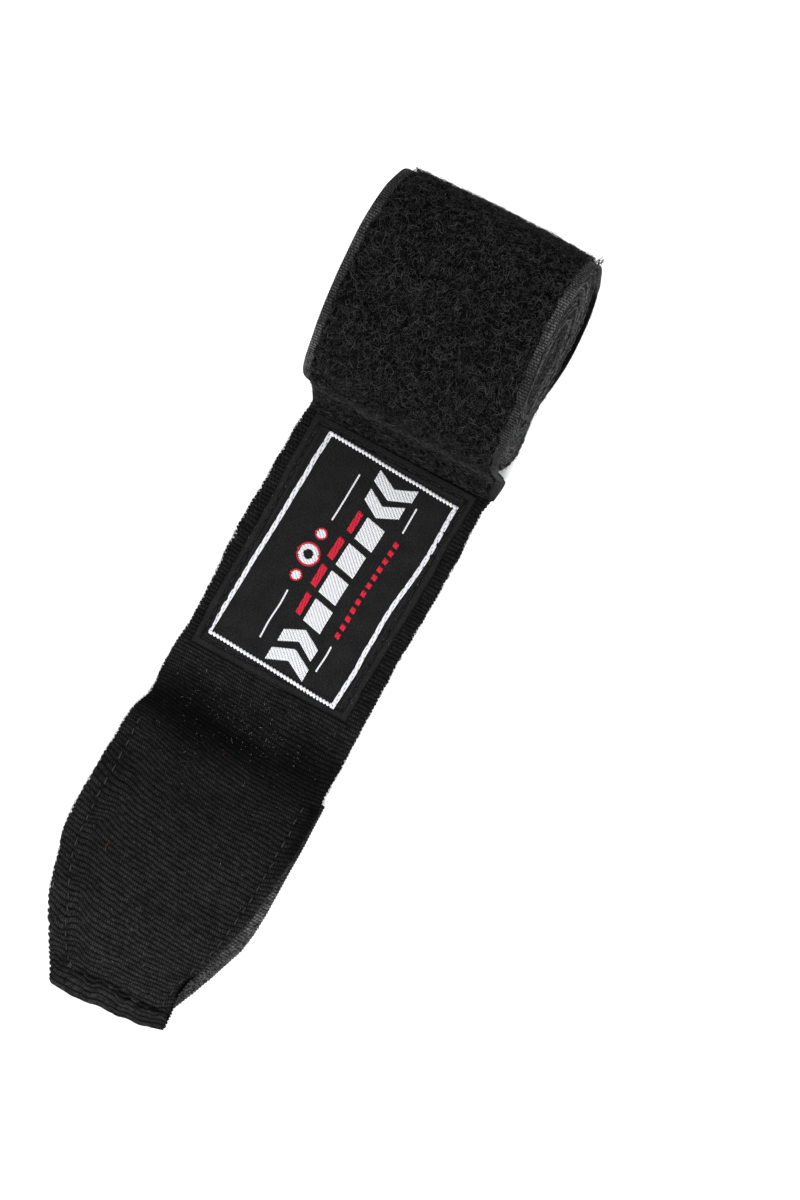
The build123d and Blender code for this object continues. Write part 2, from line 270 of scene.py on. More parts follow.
def dense(segs, step=0.1):
    """Dense samples of the path: arc length, x, z, normal x, normal z."""
    out, pos = [], 0.0
    for s in segs:
        n = math.hypot(s[3] - s[1], s[4] - s[2]) if s[0] == "L" else s[3] * abs(s[5] - s[4])
        k = max(2, int(n / step) + 1)
        u = np.linspace(0, 1, k, endpoint=False)
        if s[0] == "L":
            x, z = s[1] + u * (s[3] - s[1]), s[2] + u * (s[4] - s[2])
            nx, nz = np.full(k, s[5]), np.full(k, s[6])
        else:
            phi = s[4] + u * (s[5] - s[4])
            x, z = s[1] + s[3] * np.cos(phi), s[2] + s[3] * np.sin(phi)
            g = 1.0 if s[0] == "A" else -1.0
            nx, nz = g * np.cos(phi), g * np.sin(phi)
        out.append(np.stack([pos + u * n, x, z, nx, nz], 1))
        pos += n
    return np.concatenate(out), pos


SEGS, CORE_Z = build_path()
PATH, TOTAL = dense(SEGS)


def on_path(s, d):
    """Points of the roll's path at arc lengths s, offset d towards the outer face: x, z."""
    s = np.clip(s, 0, PATH[-1, 0])
    x, z, nx, nz = (np.interp(s, PATH[:, 0], PATH[:, c]) for c in (1, 2, 3, 4))
    l = np.hypot(nx, nz)
    return x + d * nx / l, z + d * nz / l


# where the loop panel starts, on the far side of the roll
_phi = np.degrees(np.arctan2(PATH[:, 4], PATH[:, 3]))
_far = PATH[(PATH[:, 0] > TOTAL - 160) & (np.abs(_phi + 20) < 1.0), 0]
PANEL_S0, PANEL_S1 = float(_far.mean()), TOTAL - 1.15


# ------------------------------------------------------------------ materials
def nodes_of(name):
    m = bpy.data.materials.new(name)
    m.use_nodes = True
    nt = m.node_tree
    b = nt.nodes["Principled BSDF"]
    return m, nt, b


def add(nt, kind, **values):
    n = nt.nodes.new(kind)
    for k, v in values.items():
        if k in n.inputs:
            n.inputs[k].default_value = v
        else:
            setattr(n, k, v)
    return n


def math_node(nt, op, a, b=None, c=None):
    n = nt.nodes.new("ShaderNodeMath")
    n.operation = op
    for i, v in enumerate((a, b, c)):
        if v is None:
            continue
        if isinstance(v, (int, float)):
            n.inputs[i].default_value = v
        else:
            nt.links.new(v, n.inputs[i])
    return n.outputs[0]


def mix_rgb(nt, fac, a, b):
    n = nt.nodes.new("ShaderNodeMix")
    n.data_type = "RGBA"
    for key, v in (("Factor", fac), ("A", a), ("B", b)):
        sock = [s for s in n.inputs if s.name == key and s.enabled and (s.type == "RGBA" or key == "Factor")]
        sock = [s for s in sock if (key == "Factor" and s.type == "VALUE") or (key != "Factor" and s.type == "RGBA")][0]
        if isinstance(v, (int, float)):
            sock.default_value = v
        elif isinstance(v, tuple):
            sock.default_value = v
        else:
            nt.links.new(v, sock)
    return [o for o in n.outputs if o.type == "RGBA" and o.enabled][0]


def grey(v, warm=0.0):
    return (v * (1 + warm), v, v * (1 - warm), 1.0)


def cloth_shader(b, rough, spec, sheen, sheen_rough=0.5, tint=(0.9, 0.9, 0.92, 1)):
    b.inputs["Roughness"].default_value = rough
    b.inputs["Specular IOR Level"].default_value = spec
    b.inputs["Sheen Weight"].default_value = sheen
    b.inputs["Sheen Roughness"].default_value = sheen_rough
    b.inputs["Sheen Tint"].default_value = tint


def m_webbing(name, dark, light, bead=0.55, sheen=0.005, bump=0.8, speck=1.0, spec=0.014, ribs=0.0):
    """Ribbed webbing: uv.x counts ribs, uv.y is millimetres across, tone is how light the cloth is there, painted shade
    included.
    Small slanted stitches run along each rib, their tops painted lighter and the gaps between them darker as painted
    shade."""
    m, nt, b = nodes_of(name)
    uv = add(nt, "ShaderNodeUVMap", uv_map="cloth")
    sep = add(nt, "ShaderNodeSeparateXYZ")
    nt.links.new(uv.outputs[0], sep.inputs[0])
    u, v = sep.outputs[0], sep.outputs[1]
    tone = add(nt, "ShaderNodeAttribute", attribute_name="tone")
    row = math_node(nt, "FLOOR", u)
    wob = add(nt, "ShaderNodeTexNoise", Scale=2.2, Detail=2.0)
    nt.links.new(uv.outputs[0], wob.inputs["Vector"])
    part = math_node(nt, "SUBTRACT", u, row)
    vv = math_node(nt, "ADD", math_node(nt, "DIVIDE", v, bead), math_node(nt, "MULTIPLY", row, 0.47))
    vv = math_node(nt, "ADD", vv, math_node(nt, "MULTIPLY", part, 0.75))
    vv = math_node(nt, "ADD", vv, math_node(nt, "MULTIPLY", wob.outputs["Fac"], 1.6))
    beads = math_node(nt, "ABSOLUTE", math_node(nt, "SINE", math_node(nt, "MULTIPLY", vv, math.pi)))
    beads = math_node(nt, "POWER", beads, 1.1)
    geo = add(nt, "ShaderNodeTexCoord")
    fuzz = add(nt, "ShaderNodeTexNoise", Scale=2400.0, Detail=3.0, Roughness=0.7)
    nt.links.new(geo.outputs["Object"], fuzz.inputs["Vector"])
    broad = add(nt, "ShaderNodeTexNoise", Scale=70.0, Detail=3.0)
    nt.links.new(geo.outputs["Object"], broad.inputs["Vector"])
    fz = math_node(nt, "MULTIPLY", math_node(nt, "SUBTRACT", fuzz.outputs["Fac"], 0.5), 2.4 * speck)
    # bead tops lighter, gaps between beads darker: painted shade
    lift = math_node(nt, "MULTIPLY", tone.outputs["Fac"], math_node(nt, "ADD", math_node(nt, "MULTIPLY", beads, 1.05), 0.28))
    lift = math_node(nt, "MULTIPLY", lift, math_node(nt, "MAXIMUM", math_node(nt, "ADD", fz, 1.0), 0.15))
    lift = math_node(nt, "MULTIPLY", lift, math_node(nt, "ADD", math_node(nt, "MULTIPLY", broad.outputs["Fac"], 0.7), 0.65))
    if ribs > 0:      # painted shade: grooves between the ribs darkened on the flat of the cloth, where the mesh itself has none
        groove = math_node(nt, "POWER", math_node(nt, "ABSOLUTE", math_node(nt, "SUBTRACT", math_node(nt, "MULTIPLY", part, 2.0), 1.0)), 2.5)
        flat = math_node(nt, "LESS_THAN", math_node(nt, "ABSOLUTE", v), 24.0)
        groove = math_node(nt, "MULTIPLY", math_node(nt, "MULTIPLY", groove, flat), ribs)
        lift = math_node(nt, "MULTIPLY", lift, math_node(nt, "SUBTRACT", 1.0, groove))
    lift = math_node(nt, "MINIMUM", math_node(nt, "MULTIPLY", lift, 0.5), 1.0)
    nt.links.new(mix_rgb(nt, lift, grey(dark), grey(light * 2)), b.inputs["Base Color"])
    h = math_node(nt, "ADD", math_node(nt, "MULTIPLY", beads, 0.8), math_node(nt, "MULTIPLY", fuzz.outputs["Fac"], 0.7))
    if ribs > 0:
        h = math_node(nt, "SUBTRACT", h, math_node(nt, "MULTIPLY", groove, 1.6))
    bp = add(nt, "ShaderNodeBump", Strength=bump, Distance=0.0002)
    nt.links.new(h, bp.inputs["Height"])
    nt.links.new(bp.outputs[0], b.inputs["Normal"])
    cloth_shader(b, 0.9, spec, sheen)
    return m


def m_fibre(name, dark, light, rough=0.75, spec=0.03, sheen=0.004, scale=700.0):
    """Loose fibres and pile: tone sets how light each fibre is."""
    m, nt, b = nodes_of(name)
    geo = add(nt, "ShaderNodeTexCoord")
    tone = add(nt, "ShaderNodeAttribute", attribute_name="tone")
    fine = add(nt, "ShaderNodeTexNoise", Scale=scale, Detail=3.0, Roughness=0.7)
    nt.links.new(geo.outputs["Object"], fine.inputs["Vector"])
    f = math_node(nt, "MULTIPLY", math_node(nt, "ADD", fine.outputs["Fac"], 0.5), tone.outputs["Fac"])
    f = math_node(nt, "MINIMUM", math_node(nt, "MULTIPLY", f, 0.5), 1.0)
    nt.links.new(mix_rgb(nt, f, grey(dark), grey(light * 2)), b.inputs["Base Color"])
    bp = add(nt, "ShaderNodeBump", Strength=0.5, Distance=0.0002)
    nt.links.new(fine.outputs["Fac"], bp.inputs["Height"])
    nt.links.new(bp.outputs[0], b.inputs["Normal"])
    cloth_shader(b, rough, spec, sheen)
    return m


def m_satin(name, base, light, angle=0.9, scale=2.6, rough=0.7, spec=0.03, sheen=0.006, bump=0.4):
    """Woven label cloth: uv in millimetres, fine diagonal twill."""
    m, nt, b = nodes_of(name)
    uv = add(nt, "ShaderNodeUVMap", uv_map="cloth")
    sep = add(nt, "ShaderNodeSeparateXYZ")
    nt.links.new(uv.outputs[0], sep.inputs[0])
    u, v = sep.outputs[0], sep.outputs[1]
    diag = math_node(nt, "ADD", math_node(nt, "MULTIPLY", u, scale * angle), math_node(nt, "MULTIPLY", v, scale))
    tw = math_node(nt, "ADD", math_node(nt, "MULTIPLY", math_node(nt, "SINE", math_node(nt, "MULTIPLY", diag, 2 * math.pi)), 0.5), 0.5)
    weft = math_node(nt, "ADD", math_node(nt, "MULTIPLY", math_node(nt, "SINE", math_node(nt, "MULTIPLY", v, 2 * math.pi * 4.2)), 0.5), 0.5)
    fuzz = add(nt, "ShaderNodeTexNoise", Scale=2.6, Detail=5.0, Roughness=0.85)
    nt.links.new(uv.outputs[0], fuzz.inputs["Vector"])
    broad = add(nt, "ShaderNodeTexNoise", Scale=0.22, Detail=2.0, Roughness=0.5)
    nt.links.new(uv.outputs[0], broad.inputs["Vector"])
    f = math_node(nt, "ADD", math_node(nt, "MULTIPLY", tw, 0.45), math_node(nt, "MULTIPLY", weft, 0.35))
    grain = math_node(nt, "MULTIPLY", math_node(nt, "SUBTRACT", fuzz.outputs["Fac"], 0.36), 3.4)
    grain = math_node(nt, "MAXIMUM", math_node(nt, "MULTIPLY", grain, math_node(nt, "ADD", broad.outputs["Fac"], 0.45)), 0.05)
    tone = add(nt, "ShaderNodeAttribute", attribute_name="tone")
    f = math_node(nt, "MULTIPLY", math_node(nt, "ADD", f, 0.35), tone.outputs["Fac"])
    f = math_node(nt, "MINIMUM", math_node(nt, "MULTIPLY", f, grain), 1.0)
    nt.links.new(mix_rgb(nt, f, base, light), b.inputs["Base Color"])
    h = math_node(nt, "ADD", tw, math_node(nt, "MULTIPLY", weft, 0.6))
    bp = add(nt, "ShaderNodeBump", Strength=bump, Distance=0.00012)
    nt.links.new(h, bp.inputs["Height"])
    nt.links.new(bp.outputs[0], b.inputs["Normal"])
    cloth_shader(b, rough, spec, sheen, 0.4)
    return m


def m_thread(name, base, light, rough=0.7, spec=0.08, sheen=0.02, scale=1800.0):
    """Sewing and weaving thread: twisted strands as fine streaks."""
    m, nt, b = nodes_of(name)
    geo = add(nt, "ShaderNodeTexCoord")
    n1 = add(nt, "ShaderNodeTexNoise", Scale=scale, Detail=2.0, Roughness=0.6)
    nt.links.new(geo.outputs["Object"], n1.inputs["Vector"])
    nt.links.new(mix_rgb(nt, n1.outputs["Fac"], base, light), b.inputs["Base Color"])
    bp = add(nt, "ShaderNodeBump", Strength=0.4, Distance=0.0001)
    nt.links.new(n1.outputs["Fac"], bp.inputs["Height"])
    nt.links.new(bp.outputs[0], b.inputs["Normal"])
    cloth_shader(b, rough, spec, sheen, 0.4)
    return m


WEB = m_webbing("webbing_ribbed", 0.0004, 0.0122)
WEB_ROLL = m_webbing("webbing_edges", 0.002, 0.052, bump=0.9, speck=2.0, ribs=0.85)
SELV = m_webbing("selvedge_ribbed", 0.0008, 0.054, bead=0.8, bump=0.3, speck=0.8)
HOOKWEB = m_webbing("hook_tape_weave", 0.002, 0.085, bead=0.8, bump=0.4)
# pile bed near black, far darker than the cloth: painted shade deep in the pile
PILE_BED = m_fibre("pile_bed", 0.0003, 0.0022, rough=0.95, spec=0.005, sheen=0.0)
PILE = m_fibre("pile_fibres", 0.0012, 0.0255, rough=0.7, spec=0.04, scale=900.0)
FUZZ = m_fibre("edge_fuzz", 0.002, 0.045, rough=0.7, spec=0.04, scale=900.0)
HOOKFLUFF = m_fibre("hook_fluff", 0.004, 0.085, rough=0.6, spec=0.1)
SATIN = m_satin("label_satin", grey(0.0012), grey(0.0215))
WHITE = m_thread("label_white_thread", (0.36, 0.36, 0.375, 1), (0.66, 0.66, 0.68, 1), rough=0.55, spec=0.2)
RED = m_thread("label_red_thread", (0.30, 0.006, 0.018, 1), (0.50, 0.014, 0.036, 1), rough=0.6, spec=0.12)
THREAD = m_thread("sewing_thread_black", grey(0.002), grey(0.014))
SEAM = m_thread("sewing_thread_grey", grey(0.010), grey(0.038))
HOOKS = m_thread("hook_monofilament", grey(0.012), grey(0.040), rough=0.4, spec=0.3)
SPECK = m_thread("elastane_speck", grey(0.05), grey(0.15), rough=0.5, spec=0.2)
LINT = m_thread("red_lint", (0.07, 0.004, 0.006, 1), (0.16, 0.010, 0.012, 1), rough=0.7)
TAPE = m_webbing("thumb_tape", 0.002, 0.026, bump=0.4)


# ------------------------------------------------------------------ camera and studio
def studio():
    cam = bpy.data.cameras.new("camera")
    ob = bpy.data.objects.new("camera", cam)
    bpy.context.scene.collection.objects.link(ob)
    az, el, dist = math.radians(-61.04), math.radians(71.99), 0.89987
    back = Vector((math.sin(az) * math.cos(el), -math.cos(az) * math.cos(el), math.sin(el)))
    target = Vector(((-33.31 + DX) * 0.001, (-17.86 + 0.6 + DY) * 0.001, 0.0))
    ob.location = target + back * dist
    ob.rotation_euler = (-back).to_track_quat("-Z", "Y").to_euler()
    cam.sensor_fit = "HORIZONTAL"
    cam.sensor_width = 36.0
    cam.lens = 3781.2 / 800.0 * 36.0
    cam.clip_start, cam.clip_end = 0.05, 20.0
    bpy.context.scene.camera = ob

    floor_mat, nt, b = nodes_of("studio_floor")
    b.inputs["Base Color"].default_value = (0.96, 0.96, 0.96, 1)
    b.inputs["Roughness"].default_value = 0.9
    b.inputs["Specular IOR Level"].default_value = 0.05
    me = bpy.data.meshes.new("studio_floor")
    r = 3.0
    me.from_pydata([(-r, -r, -0.00012), (r, -r, -0.00012), (r, r, -0.00012), (-r, r, -0.00012)], [], [(0, 1, 2, 3)])
    fl = bpy.data.objects.new("studio_floor", me)
    me.materials.append(floor_mat)
    bpy.context.scene.collection.objects.link(fl)

    w = bpy.data.worlds.new("studio")
    bpy.context.scene.world = w
    w.use_nodes = True
    bg = w.node_tree.nodes["Background"]
    bg.inputs[0].default_value = (0.97, 0.98, 1.0, 1)
    bg.inputs[1].default_value = 0.95

    def area(name, loc, aim, size, power):
        l = bpy.data.lights.new(name, "AREA")
        l.shape, l.size, l.energy = "SQUARE", size, power
        o = bpy.data.objects.new(name, l)
        bpy.context.scene.collection.objects.link(o)
        o.location = Vector(loc)
        o.rotation_euler = (Vector(aim) - Vector(loc)).to_track_quat("-Z", "Y").to_euler()

    area("key", (-1.35, -0.30, 1.05), (0, 0, 0), 0.7, 40)
    area("fill", (0.7, -1.0, 1.5), (0, 0, 0), 1.2, 9)
    area("top", (0.2, 0.8, 1.6), (0, 0, 0), 1.2, 8)
    vs = bpy.context.scene.view_settings
    vs.view_transform = "Standard"
    vs.look = "None"


studio()

# ------------------------------------------------------------------ outlines of the tongue
_xl = np.array([-153.8, -153.0, -150.0, -147.0, -144.0, -141.0, -138.0, -135.0, -131.5, -128.0, -124.5, -121.0, -117.0,
                -113.0, -100.0, -92.0, -88.0, -84.5, -82.0, -79.0, -75.0, -67.0, -62.0, -46.0, -20.0, -2.7, 20.0])
_yl = np.array([8.0, 8.7, 10.3, 12.1, 14.1, 16.1, 17.7, 19.3, 20.5, 21.5, 22.7, 23.8, 24.4,
                24.7, 24.7, 24.7, 24.6, 24.0, 23.4, 23.4, 23.9, 24.0, 23.7, 24.5, 24.8, 25.0, 25.0])
_xr = np.array([-153.8, -150.6, -145.7, -138.0, -131.0, -126.0, -121.0, -117.0, -100.0, -90.0, -86.0, -81.0, -74.0,
                -65.0, -50.0, -20.0, -2.7, 20.0])
_yr = np.array([-20.5, -20.4, -19.7, -20.0, -22.3, -23.6, -24.6, -25.5, -26.6, -26.7, -25.6, -25.5, -25.3,
                -24.9, -24.5, -24.6, -25.0, -25.0])
_xe, _ye = np.array([-150.6, -152.4, -152.9, -153.8, -153.8]), np.array([-20.4, -14.6, -6.5, 2.3, 8.0])
LEFT_SEAM = np.array([(-88.0, 21.7), (-98.0, 21.2), (-107.5, 21.0), (-119.7, 20.2), (-125.1, 19.1), (-129.9, 16.9),
                      (-135.0, 14.4), (-140.1, 11.9), (-146.0, 8.0), (-149.3, 5.4)])
RIGHT_SEAM = np.array([(-88.0, -22.5), (-99.5, -22.9), (-106.7, -22.7), (-113.1, -22.9), (-121.4, -22.1),
                       (-126.1, -21.8), (-131.0, -20.8), (-138.0, -18.6), (-144.5, -17.6), (-147.5, -17.4)])
HEM_LINE = np.array([(-149.6, 8.6), (-149.4, 5.4), (-149.1, 2.2), (-148.2, -3.0), (-148.8, -8.0), (-148.4, -12.0), (-147.9, -19.6)])


def seg_dist(px, py, line):
    """Distance from points to a polyline."""
    best = np.full(np.broadcast(px, py).shape, 1e9)
    for (ax, ay), (bx, by) in zip(line[:-1], line[1:]):
        dx, dy = bx - ax, by - ay
        t = np.clip(((px - ax) * dx + (py - ay) * dy) / (dx * dx + dy * dy), 0, 1)
        best = np.minimum(best, np.hypot(px - ax - t * dx, py - ay - t * dy))
    return best


def under(x):
    """Height of the webbing's underside along the middle of the tongue."""
    x = np.asarray(x, float)
    z = 0.04 + 1.72 * smooth(-80.6, -89.0, x)
    z = z + 0.45 * np.exp(-((x + 91.0) / 3.4) ** 2)            # pillow where the hook tape starts
    return z + 0.30 * np.exp(-((x + 69.5) / 3.2) ** 2)         # step off the label's end


def sway(x, y):
    """Slow unevenness that every layer follows."""
    tail = smooth(-86.0, -92.0, x)
    return (0.14 * vnoise(x / 17.0, y / 13.0, 1) + 0.05 * vnoise(x / 6.0, y / 5.0, 2)) * (0.5 + 0.8 * tail)


def rise(x, y):
    """Extra height of the webbing over its flat lie, from how it was sewn and handled."""
    h = sway(x, y)
    tail = smooth(-86.0, -92.0, x)
    ds = np.minimum(seg_dist(x, y, LEFT_SEAM), seg_dist(x, y, RIGHT_SEAM))
    h = h + tail * (0.50 * (1 - np.exp(-(ds / 2.6) ** 2)) - 0.06 * np.exp(-(ds / 0.7) ** 2))
    h = h + tail * 0.10 * np.exp(-(ds / 1.8) ** 2) * (0.5 + 0.5 * np.sin(x * 2 * np.pi / 4.0))
    # the edge outside the right seam stands off the hook tape, most near the end
    h = h + tail * 0.25 * smooth(-22.8, -25.2, y) * (0.7 + 0.3 * vnoise(x / 9.0, 0.0, 3))
    h = h + 2.2 * np.exp(-((x + 142.5) / 4.4) ** 2) * smooth(-16.0, -20.2, y)
    h = h + tail * 0.35 * smooth(20.0, 24.0, y) * (0.5 + 0.5 * vnoise(x / 11.0, 5.0, 4))
    # puckers in the dip
    dip = smooth(-68.0, -73.0, x) * (1 - smooth(-80.0, -86.0, x))
    h = h + dip * (0.30 * np.exp(-(((x + 75.5) + 0.10 * (y - 5)) / 2.6) ** 2) + 0.12 * vnoise(x / 3.0, y / 9.0, 6) + 0.1)
    hem = seg_dist(x, y, HEM_LINE + np.array([1.2, 0]))
    hem = hem + 2.5 * smooth(5.6, 7.6, y)
    h = h + 0.45 * np.exp(-((hem - 2.2) / 1.5) ** 2) * smooth(-140.0, -146.0, x) * (0.7 + 0.5 * vnoise(y / 3.0, 0.0, 5)) * (x > -148.5)
    return h - 0.35 * np.exp(-(hem / 1.0) ** 2)


# how far the ribs lean away from square across the band, at places along the tongue: x, y, lean
LEAN = np.array([(-60, 10, 0.0), (-60, -12, 0.0), (-82, 8, 0.06), (-82, -12, 0.02), (-95.3, 12.2, 0.20), (-95.9, -1.7, 0.14),
                 (-97.7, -13.5, 0.0), (-113.3, 9.8, 0.07), (-111.8, -2.8, 0.10), (-115.6, -15.7, 0.01), (-130.0, 5.5, 0.11),
                 (-129.6, -5.0, 0.03), (-129.3, -15.5, 0.08), (-141.4, 1.5, 0.0), (-141.0, -8.9, -0.09), (-150.0, 0.0, -0.05)], float)


def _lean_table():
    gx, gy = np.meshgrid(np.arange(-156.0, 20.1, 2.0), np.arange(-30.0, 30.1, 1.0), indexing="ij")
    wt = np.exp(-(((gx[..., None] - LEAN[:, 0]) / 8.0) ** 2 + ((gy[..., None] - LEAN[:, 1]) / 6.5) ** 2)) + 1e-6
    k = (wt * LEAN[:, 2]).sum(-1) / wt.sum(-1)
    w = np.concatenate([np.zeros((len(gx), 1)), np.cumsum((k[:, 1:] + k[:, :-1]) / 2, 1)], 1)
    return w - w[:, 30:31]


LEAN_W = _lean_table()


def lean_shift(x, y):
    """How far along the band a rib has drifted at (x, y), mm."""
    x, y = np.broadcast_arrays(np.asarray(x, float), np.asarray(y, float))
    i = np.clip((x + 156.0) / 2.0, 0, LEAN_W.shape[0] - 1.001)
    j = np.clip(y + 30.0, 0, LEAN_W.shape[1] - 1.001)
    a, b = i.astype(int), j.astype(int)
    f, g = i - a, j - b
    return ((LEAN_W[a, b] * (1 - g) + LEAN_W[a, b + 1] * g) * (1 - f) + (LEAN_W[a + 1, b] * (1 - g) + LEAN_W[a + 1, b + 1] * g) * f)


def rib_warp(x, y):
    """How far the ribs wander along the band."""
    w = lean_shift(x, y) + 0.20 * vnoise(x / 26.0, y / 15.0, 11) + 0.20 * vnoise(x / 9.0, y / 7.0, 12) + 0.13 * vnoise(x / 3.2, y / 2.6, 13)
    w = w + 0.07 * vnoise(x / 1.3, y / 1.1, 15)
    # the ribs flatten towards the left seam and fall away again in the margin outside it
    tail = smooth(-86.0, -96.0, x)
    yl, yr = np.interp(x, _xl, _yl), np.interp(x, _xr, _yr)
    d = yl - y
    late = smooth(-104.0, -120.0, x)
    hump = (0.40 + 0.55 * late) * (1 + 0.7 * vnoise(x / 6.0, 0.0, 16))
    w = w + tail * hump * np.exp(-((d - 8.2 + 0.6 * late - 1.5 * vnoise(x / 7.0, 4.0, 17)) / (3.0 - 0.5 * late)) ** 2)
    w = w + tail * 0.10 * np.maximum(0, 5.0 - d)
    # near the hem the ribs bunch and wander
    w = w + smooth(-134.0, -146.0, x) * (0.75 * vnoise(x / 7.0, y / 4.5, 25) + 0.30 * vnoise(x / 3.0, y / 2.0, 26))
    w = w + tail * 0.9 * np.exp(-((y - yr) / 2.6) ** 2)
    dip = smooth(-70.0, -75.0, x) * (1 - smooth(-94.0, -106.0, x))
    w = w + dip * 0.9 * vnoise(x / 8.0, y / 10.0, 14)
    # a faint track of disturbed ribs running on from the crease
    return w + 0.45 * np.exp(-((y - 6.0 + 0.1 * (x + 90)) / 1.1) ** 2) * smooth(-82.0, -86.0, x) * (1 - smooth(-100.0, -108.0, x))


def rib_count(a, x):
    """Ribs counted along the band: about 1 mm apart, 1.18 mm on the tail."""
    return (a + 0.0) / 1.02 - 0.133 * np.logaddexp(0, (-x - 98.0) / 3.0) * 3.0


def rib_height(u, sharp=0.42):
    """Rounded ridge with a narrow groove, 0 in the groove and 1 on top."""
    return np.abs(np.sin(np.pi * u)) ** sharp


def across(yr, yl, n_mid):
    """y values from the right edge to the left one for every row."""
    edge = np.array([0.0, 0.05, 0.14, 0.28, 0.5, 0.85, 1.3, 1.9, 2.6])
    mid = np.linspace(0, 1, n_mid + 2)[1:-1]
    a = yr[:, None] + edge[None]
    b = (yr[:, None] + 2.6) + mid[None] * ((yl - yr)[:, None] - 5.2)
    c = yl[:, None] - edge[::-1][None]
    y = np.concatenate([a, b, c], 1)
    off = np.minimum(y - yr[:, None], yl[:, None] - y)
    return y, off


def tongue_rows():
    """Centre line of the tongue's webbing from the roll's near side to the tail's end:
    row positions (arc length), x, z, and the outer normal."""
    s = np.arange(TOTAL - 15.0, TOTAL - 0.9, 0.1)
    x0, z0 = on_path(s, 0)
    xs = np.arange(-1.45, -153.8, -0.1)
    x = np.concatenate([x0, xs])
    z = np.concatenate([z0, np.maximum(under(xs) + BAND_T / 2, BAND_T / 2)])
    _k = np.ones(9) / 9
    z = np.concatenate([z[:4], np.convolve(z, _k, "valid"), z[-4:]])
    d = np.hypot(np.diff(x), np.diff(z))
    a = np.concatenate([[0], np.cumsum(d)])
    return a, x, z, len(x0)


ROW_A, ROW_X, ROW_Z, _n0 = tongue_rows()
FLAT_A, FLAT_X, FLAT_Z = ROW_A[_n0:], ROW_X[_n0:], ROW_Z[_n0:]


def lie(x):
    """Height of the tongue's centre line at x."""
    return np.interp(-np.asarray(x, float), -FLAT_X, FLAT_Z)


def tongue_tone(x, y, r):
    """Painted shade: ridges lighter and grooves near black, the dip at the crease darkest, a painted shadow along the
    hem's turned edge; lighter towards the tail's end as painted light; edges lighter.
    """
    yl, yr = np.interp(x, _xl, _yl), np.interp(x, _xr, _yr)
    # ridges lighter and grooves near black: painted shade
    t = 0.03 + 0.97 * smooth(0.32, 0.97, r)
    # painted shade in the dip at the crease and along the band beyond it
    crease = x + 81.5 + 0.02 * y
    dark = 0.58 * np.exp(-(crease / 7.0) ** 2) + 0.30 * smooth(-70.0, -76.0, x) * (1 - smooth(-98.0, -112.0, x))
    dark = dark * (0.85 + 0.25 * vnoise(x / 6.0, y / 8.0, 18))
    t = t * (1 - np.clip(dark, 0, 0.85))
    # lighter towards the tail's end: painted light
    t = t * (0.86 + 0.30 * smooth(-112.0, -146.0, x))
    t = t * (1 + 0.35 * np.exp(-np.minimum(yl - y, y - yr) / 0.8))
    # the turned-in corner over the hook tape is flat and dark
    flap = smooth(-87.0, -89.0, x) * (1 - smooth(-98.0, -112.0, x)) * smooth(yr + 3.4, yr + 1.6, y)
    t = t * (1 - 0.55 * flap)
    t = t * (1 - 0.28 * smooth(-68.0, -64.0, x))
    # shadowed edge where it curls away from the hook tape near the end
    lens = np.exp(-((x + 140.5) / 3.6) ** 2) + 1e-3
    t = t * (1 - 0.96 * (1 - smooth(0.75 * lens, 1.25 * lens, y - yr)))
    t = t * (1 - 0.6 * np.exp(-((x + 143.0) / 5.0) ** 2) * np.exp(-((y - yr) / 0.7) ** 2))
    tail = smooth(-86.0, -92.0, x)
    ds = np.minimum(seg_dist(x, y, LEFT_SEAM), seg_dist(x, y, RIGHT_SEAM))
    t = t * (1 - tail * 0.40 * np.exp(-(ds / 0.45) ** 2))
    # painted shadow along the hem's turned edge
    hem = seg_dist(x, y, HEM_LINE) + 2.0 * smooth(5.6, 7.6, y)
    slub = 1 + 0.34 * vnoise(x / 0.75, y / 1.3, 19) + 0.22 * vnoise(x / 0.45, y / 0.45, 20)
    return t * (1 - 0.8 * np.exp(-(hem / 0.7) ** 2)) * slub


